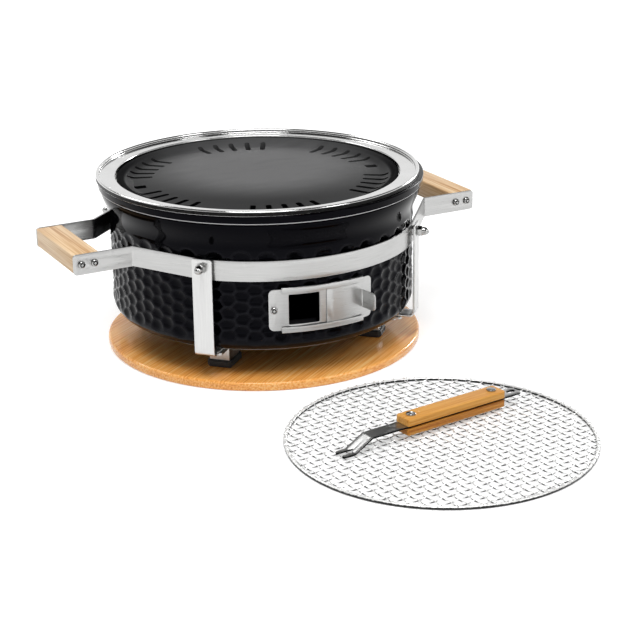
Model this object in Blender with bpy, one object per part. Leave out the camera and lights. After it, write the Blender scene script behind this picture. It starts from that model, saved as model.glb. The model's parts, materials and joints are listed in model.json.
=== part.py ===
"""Table-top charcoal grill: a ceramic bowl in a steel strip frame, standing on a round board.

Metres, +Z up. The origin is the centre of the board's underside. The air vent is at the front,
towards -Y, and the two handles lie along X. Angles round the bowl run from -Y towards +X.
The wire cooking grid and the lifter lie on the same surface as the board, in front of it.
"""

import math

import bmesh
import bpy
from mathutils import Matrix, Vector

# Clearances
SEAT_GAP = 0.0003
HOLE_CLEARANCE = 0.0003
PLATE_CLEARANCE = 0.0015
GRATE_CLEARANCE = 0.0010
PORT_MARGIN = 0.0010

# Facets: steps in a full turn and in a corner, and the largest angle of one facet of a bend
TURN_STEPS = 48
NUT_STEPS = 12
SCREW_STEPS = 10
RIVET_STEPS = 8
CORNER_STEPS = 3
PROFILE_STEPS = 4
DOME_STEPS = 3
TIGHT_BEND_RADIUS = 0.0200
ROLL_STEP = math.radians(6.0)
BEND_STEP = math.radians(30.0)
SHARP_ANGLE = math.radians(35.0)
CREASE_TOLERANCE = 1e-7

# Board
BOARD_MARGIN = 0.0073
BOARD_THICKNESS = 0.0090
BOARD_EDGE_ROUND = 0.0030

# Steel strip of the band and the legs
STRIP_WIDTH = 0.0200
STRIP_THICKNESS = 0.0020
STRIP_END_ROUND = 0.0030

# Feet under the legs
LEG_ANGLE = math.radians(47.0)
FOOT_SET_BACK = 0.0295
FOOT_WIDTH = 0.0205
FOOT_DEPTH = 0.0270
FOOT_HEIGHT = 0.0211
FOOT_WALL = 0.0015
FOOT_FLANGE_LENGTH = 0.0230
FOOT_BOLT_INSET = 0.0120
FOOT_BOLT_RADIUS = 0.0025
FOOT_BOLT_HEAD_RADIUS = 0.0046
FOOT_BOLT_HEAD_HEIGHT = 0.0040
FOOT_CAP_HEIGHT = 0.0070
FOOT_CAP_WALL = 0.0022
FOOT_CAP_FLOOR = 0.0020
FOOT_CAP_ROUND = 0.0030

# Bowl, with heights above its underside
BOWL_HEIGHT = 0.1394
BOWL_RADIUS = 0.1545
BOWL_WALL = 0.0120
BOWL_DRAFT = 0.0020
BOWL_FLOOR = 0.0140
BOWL_FLOOR_FILLET = 0.0080
BOWL_EDGE_WIDTH = 0.0160
BOWL_EDGE_HEIGHT = 0.0170
BOWL_SHOULDER_BASE = 0.1037
BOWL_SHOULDER_TOP = 0.1300
BOWL_SHOULDER_FLARE = 0.0075
BOWL_RIM_FLARE = 0.0100
BOWL_RIM_WIDTH = 0.0090
BOWL_RIM_ROUND = 0.0010
BOWL_GROOVE_DEPTH = 0.0012
BOWL_GROOVE_HEIGHT = 0.0020
BOWL_MOUTH_DEPTH = 0.0257

# Charcoal grate and its three legs
GRATE_THICKNESS = 0.0040
GRATE_HOLE_RADIUS = 0.0090
GRATE_HOLE_PITCH = 0.0440
GRATE_HOLE_RINGS = 2
GRATE_LEG_HEIGHT = 0.0504
GRATE_LEG_RADIUS = 0.0050
GRATE_LEG_TENON_RADIUS = 0.0030
GRATE_LEG_INSET = 0.0115

# Rim ring, pressed from sheet
RING_SET_BACK = 0.0017
RING_SHIFT = Vector((-0.0032, 0.0, 0.0))
RING_SHEET = 0.0015
RING_BEAD_WIDTH = 0.0035
RING_BEAD_HEIGHT = 0.0035
RING_FLANGE_WIDTH = 0.0193
RING_STEP_DEPTH = 0.0080
RING_LEDGE_WIDTH = 0.0080

# Griddle plate
PLATE_RIM_HEIGHT = 0.0057
PLATE_RIM_WIDTH = 0.0040
PLATE_RIM_ROUND = 0.0008
PLATE_FLAT_INSET = 0.0160
PLATE_WELL_DEPTH = 0.0055
PLATE_CROWN = 0.0020
PLATE_CROWN_RADIUS = 0.0700
PLATE_THICKNESS = 0.0050
SLOT_GROUPS = 6
SLOTS_PER_GROUP = 5
SLOT_PITCH = math.radians(7.7)
SLOT_TURN = math.radians(-13.5)
SLOT_WIDTH = 0.0055
SLOT_INSET = 0.0370
SLOT_LEDGE_MARGIN = 0.0015
LIFT_HOLE_TURN = math.radians(-101.0)
LIFT_HOLE_INSET = 0.0225
LIFT_HOLE_WIDTH = 0.0100
LIFT_HOLE_LENGTH = 0.0120
LIFT_HOLE_ROUND = 0.0020

# Band halves and handles
BAND_RISE = 0.0740
BAND_WRAP = math.radians(48.5)
ARM_OVERHANG = 0.0685
ARM_RISE = 0.0058
ARM_BEND_RADIUS = 0.0040
HANDLE_LENGTH = 0.0994
HANDLE_DEPTH = 0.0265
HANDLE_HEIGHT = 0.0185
HANDLE_ROUND = 0.0012
HANDLE_SCREW_INSET = 0.0080
HANDLE_SCREW_SPACING = 0.0130
SCREW_RADIUS = 0.0020
SCREW_LENGTH = 0.0160
SCREW_HEAD_RADIUS = 0.0036
SCREW_HEAD_HEIGHT = 0.0024
SCREW_CROWN_RADIUS = 0.0022
SCREW_CROWN_HEIGHT = 0.0014

# Legs
LEG_TOP_RISE = 0.0015
LEG_BEND_RADIUS = 0.0040
LEG_STUD_DROP = 0.0085
STUD_RADIUS = 0.0025
SPACER_NUT_HEIGHT = 0.0025
NUT_RADIUS = 0.0052
CAP_NUT_HEX_HEIGHT = 0.0050
CAP_NUT_DOME_RADIUS = 0.0043
CAP_NUT_DOME_HEIGHT = 0.0070
CAP_NUT_DOME_END = math.radians(78.0)
CAP_NUT_SOCKET = 0.0075

# Air vent: lengths along the wall from its middle, heights above the bowl's underside
VENT_TURN = math.radians(-4.5)
VENT_SHEET = 0.0010
VENT_LENGTH = 0.1084
VENT_BASE = 0.0240
VENT_HEIGHT = 0.0412
VENT_CORNER = 0.0050
VENT_WINDOW_START = -0.0352
VENT_WINDOW_WIDTH = 0.0302
VENT_WINDOW_HEIGHT = 0.0300
VENT_WINDOW_CORNER = 0.0010
VENT_SCREW_INSET = 0.0052
RAIL_LENGTH = 0.0840
RAIL_DROP = 0.0020
RAIL_LIP = 0.0059
RAIL_ROOT = 0.0012
RAIL_INSET = 0.0001
DOOR_START = 0.0019
DOOR_LENGTH = 0.0392
TAB_HEIGHT = 0.0180
TAB_LENGTH = 0.0180
TAB_CORNER = 0.0045
TAB_BEND_RADIUS = 0.0015
VENT_SCREW_LENGTH = 0.0100

# Cooking grid, lying in front of the board
GRID_SIDE_SHIFT = 0.0144
GRID_BOARD_GAP = 0.0177
GRID_CLEARANCE = 0.0015
GRID_RIM_WIRE_RADIUS = 0.0018
GRID_RIM_SIDES = 6
NET_PITCH = 0.0188
NET_TURN = math.radians(7.0)
NET_WIRE_WIDTH = 0.0016
NET_WIRE_HEIGHT = 0.0014
NET_GAP_LEAST_AREA = 0.00003

# Lifter: lengths from the tips of its prongs, and its place on the grid
LIFTER_SHIFT = Vector((-0.0989, 0.0083, 0.0))
LIFTER_HEADING = math.radians(8.0)
BLADE_WIDTH = 0.0150
BLADE_THICKNESS = 0.0018
PRONG_LENGTH = 0.0110
PRONG_WIDTH = 0.0042
PRONG_ROUND = 0.0008
NOTCH_DEPTH = 0.0045
NECK_LENGTH = 0.0198
NECK_ANGLE = math.radians(29.0)
NECK_BEND_RADIUS = 0.0040
SHANK_LENGTH = 0.0375
SCALE_LENGTH = 0.1160
SCALE_WIDTH = 0.0185
SCALE_THICKNESS = 0.0068
SCALE_ROUND = 0.0025
SCALE_EASE = 0.0015
TAIL_LENGTH = 0.0220
HANG_HOLE_LENGTH = 0.0090
HANG_HOLE_WIDTH = 0.0045
RIVET_INSET = 0.0100
RIVET_RADIUS = 0.0022
RIVET_HEAD_RADIUS = 0.0045
RIVET_HEAD_HEIGHT = 0.0010

# Heights and radii that follow from the sizes above
BOARD_RADIUS = BOWL_RADIUS + BOARD_MARGIN
FOOT_REACH = BOWL_RADIUS - FOOT_SET_BACK
BOWL_BORE = BOWL_RADIUS - BOWL_WALL
BOWL_FLOOR_RADIUS = BOWL_BORE - BOWL_DRAFT
BOWL_SHOULDER_RADIUS = BOWL_RADIUS + BOWL_SHOULDER_FLARE
BOWL_RIM_RADIUS = BOWL_RADIUS + BOWL_RIM_FLARE
RING_RADIUS = BOWL_RIM_RADIUS - RING_SET_BACK
RING_STEP_RADIUS = RING_RADIUS - RING_FLANGE_WIDTH
ARM_REACH = BOWL_RADIUS + ARM_OVERHANG
GRATE_RADIUS = BOWL_FLOOR_RADIUS - GRATE_CLEARANCE
GRID_RADIUS = RING_STEP_RADIUS - GRID_CLEARANCE
GRID_PLACE = Vector((GRID_SIDE_SHIFT, -BOARD_RADIUS - GRID_BOARD_GAP - GRID_RADIUS, 0.0))
LIFTER_TIP = GRID_PLACE + LIFTER_SHIFT
CAP_Z = BOARD_THICKNESS + SEAT_GAP
FOOT_Z = CAP_Z + FOOT_CAP_FLOOR + SEAT_GAP
SHELF_Z = FOOT_Z + FOOT_HEIGHT + SEAT_GAP
BOWL_Z = SHELF_Z + STRIP_THICKNESS + SEAT_GAP
GRATE_LEG_Z = BOWL_Z + BOWL_FLOOR + SEAT_GAP
GRATE_Z = GRATE_LEG_Z + GRATE_LEG_HEIGHT + SEAT_GAP
RIM_Z = BOWL_Z + BOWL_HEIGHT
RING_Z = RIM_Z + SEAT_GAP
RING_LEDGE_Z = RING_Z + RING_SHEET - RING_STEP_DEPTH
PLATE_Z = RING_LEDGE_Z + SEAT_GAP
BAND_Z = BOWL_Z + BAND_RISE
BAND_RADIUS = BOWL_RADIUS + SEAT_GAP + STRIP_THICKNESS / 2
ARM_Y = HANDLE_LENGTH / 2 + SEAT_GAP + STRIP_THICKNESS / 2
SPACER_RADIUS = BAND_RADIUS + STRIP_THICKNESS / 2 + SEAT_GAP
LEG_RADIUS = SPACER_RADIUS + SPACER_NUT_HEIGHT + SEAT_GAP + STRIP_THICKNESS / 2
LEG_TOP_Z = BAND_Z + STRIP_WIDTH + LEG_TOP_RISE
STUD_Z = LEG_TOP_Z - LEG_STUD_DROP
CAP_NUT_RADIUS = LEG_RADIUS + STRIP_THICKNESS / 2 + SEAT_GAP
VENT_RADIUS = BOWL_RADIUS + SEAT_GAP
VENT_Z = BOWL_Z + VENT_BASE
DOOR_RADIUS = VENT_RADIUS + VENT_SHEET + SEAT_GAP + VENT_SHEET / 2
WINDOW_RISE = (VENT_HEIGHT - VENT_WINDOW_HEIGHT) / 2
ARM_TOP_Z = BAND_Z + ARM_RISE + STRIP_WIDTH
NET_TOP_Z = GRID_RIM_WIRE_RADIUS + NET_WIRE_HEIGHT / 2
BLADE_SEAT = BLADE_THICKNESS / 2 + SEAT_GAP
RIVET_SEAT = BLADE_SEAT + SCALE_THICKNESS + SEAT_GAP


def finish(name, colour, roughness, metallic):
    """A Principled material for one kind of surface."""
    material = bpy.data.materials.new(name)
    material.use_nodes = True
    shader = material.node_tree.nodes["Principled BSDF"]
    shader.inputs["Base Color"].default_value = (*colour, 1.0)
    shader.inputs["Roughness"].default_value = roughness
    shader.inputs["Metallic"].default_value = metallic
    return material


def circle(radius, height, count=TURN_STEPS):
    """A level loop of points round the Z axis."""
    angles = [2 * math.pi * step / count for step in range(count)]
    return [Vector((radius * math.sin(a), -radius * math.cos(a), height)) for a in angles]


def hexagon(radius, height):
    """A level hexagon with a point at each corner and each middle of a side, to match a nut's circles."""
    step = 2 * math.pi / NUT_STEPS
    middle = radius * math.cos(step)
    return [Vector((r * math.sin(i * step), -r * math.cos(i * step), height))
            for i, r in enumerate([radius, middle] * (NUT_STEPS // 2))]


def rounded_rectangle(start, end, low, high, radius, steps=CORNER_STEPS):
    """Corner points of a rectangle in the plane with round corners, anticlockwise."""
    corners = [(start + radius, low + radius, 180), (end - radius, low + radius, 270),
               (end - radius, high - radius, 0), (start + radius, high - radius, 90)]
    points = []
    for x, y, first in corners:
        for step in range(steps + 1):
            angle = math.radians(first + 90 * step / steps)
            points.append((x + radius * math.cos(angle), y + radius * math.sin(angle)))
    return points


def round_hole(x, y, radius):
    """Points of a round hole in a flat blank."""
    angles = [2 * math.pi * step / SCREW_STEPS for step in range(SCREW_STEPS)]
    return [(x + radius * math.cos(a), y + radius * math.sin(a)) for a in angles]


def loft(loops, closed=False):
    """Skin through loops of equally many points, capped at both ends unless the last meets the first."""
    bm = bmesh.new()
    rings = [[bm.verts.new(point) for point in loop] for loop in loops]
    pairs = list(zip(rings, rings[1:]))
    if closed:
        pairs.append((rings[-1], rings[0]))
    else:
        bm.faces.new(rings[0])
        bm.faces.new(rings[-1])
    for below, above in pairs:
        for i in range(len(below)):
            bm.faces.new((below[i - 1], below[i], above[i], above[i - 1]))
    return as_mesh(bm)


def turned(profile, count=TURN_STEPS, closed=False):
    """A piece turned about the Z axis from its profile of radius and height."""
    return loft([circle(radius, height, count) for radius, height in profile], closed)


def as_mesh(bm):
    """Turn a bmesh into a mesh with its faces pointing out, smooth on round sides and sharp at edges."""
    bmesh.ops.recalc_face_normals(bm, faces=bm.faces[:])
    if bm.calc_volume(signed=True) < 0:
        bmesh.ops.reverse_faces(bm, faces=bm.faces[:])
    mesh = bpy.data.meshes.new("solid")
    bm.to_mesh(mesh)
    bm.free()
    mesh.shade_smooth()
    mesh.set_sharp_from_angle(angle=SHARP_ANGLE)
    return mesh


def block(low, high, bevel=0.0):
    """A box between two corners, with its edges bevelled."""
    bm = bmesh.new()
    bmesh.ops.create_cube(bm, size=1.0)
    low, high = Vector(low), Vector(high)
    bmesh.ops.scale(bm, vec=high - low, verts=bm.verts[:])
    bmesh.ops.translate(bm, vec=(low + high) / 2, verts=bm.verts[:])
    if bevel:
        bmesh.ops.bevel(bm, geom=bm.edges[:], offset=bevel, segments=1, profile=0.5, affect="EDGES")
    return as_mesh(bm)


def moved(mesh, matrix):
    """The same mesh, moved."""
    mesh.transform(matrix)
    return mesh


def joined(meshes):
    """Several separate bodies in one mesh, to cut with."""
    bm = bmesh.new()
    for mesh in meshes:
        bm.from_mesh(mesh)
    return as_mesh(bm)


def combined(mesh, tool, operation="DIFFERENCE"):
    """A new mesh: the first with the second cut from it or joined to it."""
    body = bpy.data.objects.new("body", mesh)
    cutter = bpy.data.objects.new("cutter", tool)
    for item in (body, cutter):
        bpy.context.scene.collection.objects.link(item)
    modifier = body.modifiers.new("combine", "BOOLEAN")
    modifier.operation = operation
    modifier.object = cutter
    depsgraph = bpy.context.evaluated_depsgraph_get()
    result = bpy.data.meshes.new_from_object(body.evaluated_get(depsgraph))
    for item in (body, cutter):
        bpy.data.objects.remove(item)
    result.shade_smooth()
    result.set_sharp_from_angle(angle=SHARP_ANGLE)
    return result


def blank(outline, holes, thickness):
    """A flat sheet in the XY plane with holes, its middle plane at height 0."""
    bm = bmesh.new()
    edges = []
    for loop in [outline] + holes:
        verts = [bm.verts.new((x, y, -thickness / 2)) for x, y in loop]
        edges += [bm.edges.new((verts[i - 1], verts[i])) for i in range(len(verts))]
    bmesh.ops.triangle_fill(bm, use_beauty=True, edges=edges, normal=(0, 0, 1))
    raised = bmesh.ops.extrude_face_region(bm, geom=bm.faces[:], use_keep_orig=True)["geom"]
    verts = [item for item in raised if isinstance(item, bmesh.types.BMVert)]
    bmesh.ops.translate(bm, verts=verts, vec=(0, 0, thickness))
    return bm


def creased(bm, places):
    """Cut a flat sheet across at each place along it, so that it can be bent there."""
    for place in places:
        everything = bm.verts[:] + bm.edges[:] + bm.faces[:]
        bmesh.ops.bisect_plane(bm, geom=everything, dist=CREASE_TOLERANCE,
                               plane_co=(place, 0, 0), plane_no=(1, 0, 0))
    bmesh.ops.triangulate(bm, faces=bm.faces[:])
    return bm


def crease_places(runs):
    """Where to cut a sheet for its runs of (length, turn): at run ends and along each bend."""
    places = []
    start = 0.0
    for length, turn in runs:
        largest = BEND_STEP if length < TIGHT_BEND_RADIUS * abs(turn) else ROLL_STEP
        steps = max(1, math.ceil(abs(turn) / largest))
        places += [start + length * step / steps for step in range(1, steps + 1)]
        start += length
    return places[:-1]


def along(start, heading, runs, distance):
    """Point and heading at a distance along a plane path of straight and curved runs."""
    x, y = start
    for length, turn in runs:
        step = min(distance, length)
        if turn:
            radius = length / turn
            angle = step / radius
            x += radius * (math.sin(heading + angle) - math.sin(heading))
            y -= radius * (math.cos(heading + angle) - math.cos(heading))
            heading += angle
        else:
            x += step * math.cos(heading)
            y += step * math.sin(heading)
        distance -= step
        if distance <= 0:
            break
    return x, y, heading


def bent(bm, start, heading, runs, upright):
    """Bend a flat sheet along a path; upright says where a path point and a height across go."""
    creased(bm, crease_places(runs))
    for vert in bm.verts:
        x, y, direction = along(start, heading, runs, vert.co.x)
        x -= math.sin(direction) * vert.co.z
        y += math.cos(direction) * vert.co.z
        vert.co = upright(x, y, vert.co.y)
    return as_mesh(bm)


def radial(angle, height, radius):
    """A frame at the given radius round the bowl, its Z axis pointing outward."""
    outward = Matrix.Rotation(math.radians(90), 4, "X")
    return Matrix.Rotation(angle, 4, "Z") @ Matrix.Translation((0, -radius, height)) @ outward


def pan_screw(length):
    """Pan-head screw, its head's seat at height 0 and its shank below."""
    edge = SCREW_HEAD_HEIGHT - SCREW_CROWN_HEIGHT
    profile = [(SCREW_RADIUS, -length), (SCREW_RADIUS, 0), (SCREW_HEAD_RADIUS, 0), (SCREW_HEAD_RADIUS, edge),
               (SCREW_CROWN_RADIUS, SCREW_HEAD_HEIGHT)]
    return turned(profile, SCREW_STEPS)


def drill(radius, depth):
    """Cutter for a round hole that starts outside height 0 and goes down to a depth."""
    return turned([(radius, -depth), (radius, SCREW_HEAD_HEIGHT)], SCREW_STEPS)


def board_mesh():
    """Round board with soft edges."""
    edge = BOARD_EDGE_ROUND
    soft = edge * (1 - math.cos(math.radians(45)))
    inner = BOARD_RADIUS - edge
    top = BOARD_THICKNESS
    return turned([(inner, 0), (BOARD_RADIUS - soft, soft), (BOARD_RADIUS, edge), (BOARD_RADIUS, top - edge),
                   (BOARD_RADIUS - soft, top - soft), (inner, top)])


def bowl_profile():
    """Outer side of the bowl from its underside up, then the inner side down to the floor."""
    outer = []
    for step in range(PROFILE_STEPS + 1):
        angle = math.pi / 2 * step / PROFILE_STEPS
        radius = BOWL_RADIUS - BOWL_EDGE_WIDTH * (1 - math.sin(angle))
        outer.append((radius, BOWL_EDGE_HEIGHT * (1 - math.cos(angle))))
    for step in range(PROFILE_STEPS + 1):
        share = step / PROFILE_STEPS
        ease = share * share * (3 - 2 * share)
        radius = BOWL_RADIUS + (BOWL_SHOULDER_RADIUS - BOWL_RADIUS) * ease
        outer.append((radius, BOWL_SHOULDER_BASE + (BOWL_SHOULDER_TOP - BOWL_SHOULDER_BASE) * share))
    groove = BOWL_SHOULDER_TOP + BOWL_GROOVE_HEIGHT / 2
    outer.append((BOWL_SHOULDER_RADIUS - BOWL_GROOVE_DEPTH, groove))
    outer.append((BOWL_RIM_RADIUS, BOWL_SHOULDER_TOP + BOWL_GROOVE_HEIGHT))
    outer.append((BOWL_RIM_RADIUS, BOWL_HEIGHT - BOWL_RIM_ROUND))
    outer.append((BOWL_RIM_RADIUS - BOWL_RIM_ROUND, BOWL_HEIGHT))
    inner = [(BOWL_RIM_RADIUS - BOWL_RIM_WIDTH, BOWL_HEIGHT), (BOWL_BORE, BOWL_HEIGHT - BOWL_MOUTH_DEPTH),
             (BOWL_FLOOR_RADIUS, BOWL_FLOOR + BOWL_FLOOR_FILLET),
             (BOWL_FLOOR_RADIUS - BOWL_FLOOR_FILLET, BOWL_FLOOR)]
    return outer + inner


def vent_angle(distance):
    """Angle round the bowl of a place along the vent."""
    return VENT_TURN + distance / VENT_RADIUS


def vent_screw_places():
    """Where the vent's two screws are along it."""
    reach = VENT_LENGTH / 2 - VENT_SCREW_INSET
    return [-reach, reach]


def bowl_mesh():
    """Bowl with its air port and the two holes for the vent's screws."""
    solid = turned([(radius, BOWL_Z + height) for radius, height in bowl_profile()])
    half = VENT_WINDOW_WIDTH / 2 + PORT_MARGIN
    low = VENT_Z + WINDOW_RISE - PORT_MARGIN
    high = low + VENT_WINDOW_HEIGHT + 2 * PORT_MARGIN
    port = block((-half, -BOWL_RADIUS - BOWL_WALL, low), (half, -BOWL_BORE + 2 * BOWL_WALL, high))
    moved(port, Matrix.Rotation(vent_angle(VENT_WINDOW_START + VENT_WINDOW_WIDTH / 2), 4, "Z"))
    tools = [port]
    for place in vent_screw_places():
        hole = drill(SCREW_RADIUS + HOLE_CLEARANCE, VENT_SCREW_LENGTH + SEAT_GAP)
        tools.append(moved(hole, radial(vent_angle(place), VENT_Z + VENT_HEIGHT / 2, VENT_RADIUS)))
    return combined(solid, joined(tools))


def grate_mesh():
    """Round charcoal grate with rings of holes, and three holes for its legs' tenons."""
    top = GRATE_Z + GRATE_THICKNESS
    disc = turned([(GRATE_RADIUS, GRATE_Z), (GRATE_RADIUS, top)])
    holes = [(place, GRATE_HOLE_RADIUS) for ring in range(GRATE_HOLE_RINGS + 1)
             for place in circle(ring * GRATE_HOLE_PITCH, 0, max(1, 6 * ring))]
    holes += [(place, GRATE_LEG_TENON_RADIUS + HOLE_CLEARANCE) for place in grate_leg_places().values()]
    tools = []
    for place, radius in holes:
        span = [(radius, GRATE_Z - GRATE_THICKNESS), (radius, top + GRATE_THICKNESS)]
        tools.append(moved(turned(span, RIVET_STEPS), Matrix.Translation(place)))
    return combined(disc, joined(tools))


def grate_leg_places():
    """Where the grate's legs stand: one at the rear and one at each side of the air port."""
    names = ("front_right", "rear", "front_left")
    reach = GRATE_RADIUS - GRATE_LEG_INSET
    angles = [math.pi * (1 + 2 * number) / len(names) for number in range(len(names))]
    return {name: Vector((reach * math.sin(angle), -reach * math.cos(angle), 0))
            for name, angle in zip(names, angles)}


def grate_leg_mesh():
    """Round leg with a tenon that goes up into the grate."""
    shoulder = GRATE_LEG_Z + GRATE_LEG_HEIGHT
    top = GRATE_Z + GRATE_THICKNESS
    return turned([(GRATE_LEG_RADIUS, GRATE_LEG_Z), (GRATE_LEG_RADIUS, shoulder),
                   (GRATE_LEG_TENON_RADIUS, shoulder), (GRATE_LEG_TENON_RADIUS, top)], RIVET_STEPS)


def ring_mesh():
    """Pressed ring: a bead at its outer edge, a flat on the bowl's rim, and a step down to a ledge."""
    flat = RING_Z + RING_SHEET
    bead_top = flat + RING_BEAD_HEIGHT
    bead_middle = RING_RADIUS - RING_BEAD_WIDTH / 2
    bead_inside = RING_RADIUS - RING_BEAD_WIDTH
    shoulder = flat + RING_BEAD_HEIGHT / 2
    ledge = RING_STEP_RADIUS - RING_LEDGE_WIDTH
    outer_step = RING_STEP_RADIUS + RING_SHEET
    return turned([(RING_RADIUS, RING_Z), (RING_RADIUS, shoulder), (bead_middle, bead_top),
                   (bead_inside, shoulder), (bead_inside, flat),
                   (RING_STEP_RADIUS, flat), (RING_STEP_RADIUS, RING_LEDGE_Z),
                   (ledge, RING_LEDGE_Z), (ledge, RING_LEDGE_Z - RING_SHEET),
                   (outer_step, RING_LEDGE_Z - RING_SHEET), (outer_step, RING_Z)], closed=True)


def slot_angles():
    """Angle of every slot in the plate, group by group."""
    middle = (SLOTS_PER_GROUP - 1) / 2
    return [SLOT_TURN + 2 * math.pi * group / SLOT_GROUPS + (slot - middle) * SLOT_PITCH
            for group in range(SLOT_GROUPS) for slot in range(SLOTS_PER_GROUP)]


def plate_mesh():
    """Dished griddle plate with radial slots that run up its rim, and two holes for the lifter."""
    radius = RING_STEP_RADIUS - PLATE_CLEARANCE
    ledge = RING_STEP_RADIUS - RING_LEDGE_WIDTH
    rim = PLATE_Z + PLATE_RIM_HEIGHT
    well = rim - PLATE_WELL_DEPTH
    under = well - PLATE_THICKNESS
    body = ledge - PLATE_CLEARANCE
    rim_inside = radius - PLATE_RIM_WIDTH
    disc = turned([(body, under), (body, PLATE_Z), (radius, PLATE_Z), (radius, rim - PLATE_RIM_ROUND),
                   (radius - PLATE_RIM_ROUND, rim), (rim_inside, rim),
                   (RING_STEP_RADIUS - PLATE_FLAT_INSET, well), (PLATE_CROWN_RADIUS, well + PLATE_CROWN)])
    below, above = under - PLATE_THICKNESS, rim + PLATE_THICKNESS
    slot_outline = rounded_rectangle(RING_STEP_RADIUS - SLOT_INSET, body - SLOT_LEDGE_MARGIN,
                                     -SLOT_WIDTH / 2, SLOT_WIDTH / 2, SLOT_WIDTH / 2 - SEAT_GAP, 1)
    tools = [through_cutter(slot_outline, below, above, angle) for angle in slot_angles()]
    hole_start = RING_STEP_RADIUS - LIFT_HOLE_INSET - LIFT_HOLE_LENGTH / 2
    hole_outline = rounded_rectangle(hole_start, hole_start + LIFT_HOLE_LENGTH,
                                     -LIFT_HOLE_WIDTH / 2, LIFT_HOLE_WIDTH / 2, LIFT_HOLE_ROUND, 1)
    hole_angles = (LIFT_HOLE_TURN, LIFT_HOLE_TURN + math.pi)
    tools += [through_cutter(hole_outline, below, above, angle) for angle in hole_angles]
    return combined(disc, joined(tools))


def through_cutter(outline, low, high, angle):
    """Cutter through a level piece: its outline lies along the radius at an angle round Z."""
    cutter = loft([[Vector((y, -x, height)) for x, y in outline] for height in (low, high)])
    return moved(cutter, Matrix.Rotation(angle, 4, "Z"))


def arm_corner():
    """How far from the middle the band's straight run meets the line of its arm."""
    run = (BAND_RADIUS * math.cos(BAND_WRAP) - ARM_Y) / math.sin(BAND_WRAP)
    return BAND_RADIUS * math.sin(BAND_WRAP) + run * math.cos(BAND_WRAP)


def band_runs():
    """Runs of one band half, from the end of its left arm to the end of its right arm."""
    corner = arm_corner()
    trim = ARM_BEND_RADIUS * math.tan(BAND_WRAP / 2)
    arm = (ARM_REACH - corner - trim, 0)
    bend = (ARM_BEND_RADIUS * BAND_WRAP, -BAND_WRAP)
    straight = ((corner - BAND_RADIUS * math.sin(BAND_WRAP)) / math.cos(BAND_WRAP) - trim, 0)
    return [arm, bend, straight, (2 * BAND_RADIUS * BAND_WRAP, 2 * BAND_WRAP), straight, bend, arm]


def band_lift(x):
    """Rise of the strip above its level round the bowl: it climbs along the straight run to its arm."""
    start = BAND_RADIUS * math.sin(BAND_WRAP)
    share = (abs(x) - start) / (arm_corner() - start)
    return ARM_RISE * min(1.0, max(0.0, share))


def handle_screw_insets():
    """Distance of each handle screw from the end of its arm."""
    return [HANDLE_SCREW_INSET, HANDLE_SCREW_INSET + HANDLE_SCREW_SPACING]


def band_mesh():
    """Front half of the band: a strip with its holes, bent round the bowl and out into two arms."""
    runs = band_runs()
    length = sum(run for run, turn in runs)
    middle = STRIP_WIDTH / 2
    holes = []
    for inset in handle_screw_insets():
        for place in (inset, length - inset):
            holes.append(round_hole(place, middle, SCREW_RADIUS + HOLE_CLEARANCE))
    for side in (-1, 1):
        place = length / 2 + side * LEG_ANGLE * BAND_RADIUS
        holes.append(round_hole(place, STUD_Z - BAND_Z, STUD_RADIUS + HOLE_CLEARANCE))
    outline = rounded_rectangle(0, length, 0, STRIP_WIDTH, STRIP_END_ROUND)
    strip = blank(outline, holes, STRIP_THICKNESS)
    return bent(strip, (-ARM_REACH, -ARM_Y), 0.0, runs,
                lambda x, y, across: (x, y, BAND_Z + across + band_lift(x)))


def handle_mesh():
    """Right-hand handle block with pilot holes for its four screws."""
    half = HANDLE_LENGTH / 2
    solid = block((ARM_REACH - HANDLE_DEPTH, -half, ARM_TOP_Z - HANDLE_HEIGHT), (ARM_REACH, half, ARM_TOP_Z),
                  HANDLE_ROUND)
    tools = []
    for place in handle_screw_places():
        hole = drill(SCREW_RADIUS + HOLE_CLEARANCE, SCREW_LENGTH + SEAT_GAP)
        tools.append(moved(hole, place))
    return combined(solid, joined(tools))


def handle_screw_places():
    """Frames of the four screws of the right-hand handle, their Z axes pointing out of the arms."""
    seat = ARM_Y + STRIP_THICKNESS / 2 + SEAT_GAP
    height = ARM_TOP_Z - STRIP_WIDTH / 2
    places = []
    for side in (-1, 1):
        outward = Matrix.Rotation(-side * math.pi / 2, 4, "X")
        for inset in handle_screw_insets():
            places.append(Matrix.Translation((ARM_REACH - inset, side * seat, height)) @ outward)
    return places


def foot_bolt_radius():
    """Distance of each foot's bolt from the bowl's axis."""
    return FOOT_REACH + FOOT_BOLT_INSET


def leg_mesh():
    """One leg at the front: a strip down from the band, bent in under the bowl to the foot's inner side."""
    corner = LEG_BEND_RADIUS + STRIP_THICKNESS / 2
    drop = LEG_TOP_Z - SHELF_Z - STRIP_THICKNESS / 2 - corner
    shelf = LEG_RADIUS - corner - (FOOT_REACH - FOOT_DEPTH)
    quarter = math.pi / 2
    runs = [(drop, 0), (corner * quarter, -quarter), (shelf, 0)]
    length = sum(run for run, turn in runs)
    half = STRIP_WIDTH / 2
    bolt_place = length - (foot_bolt_radius() - (FOOT_REACH - FOOT_DEPTH))
    holes = [round_hole(LEG_STUD_DROP, 0, STUD_RADIUS + HOLE_CLEARANCE),
             round_hole(bolt_place, 0, FOOT_BOLT_RADIUS + HOLE_CLEARANCE)]
    strip = blank(rounded_rectangle(0, length, -half, half, STRIP_END_ROUND), holes, STRIP_THICKNESS)
    return bent(strip, (LEG_RADIUS, LEG_TOP_Z), -quarter, runs, lambda r, z, across: (across, -r, z))


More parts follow.
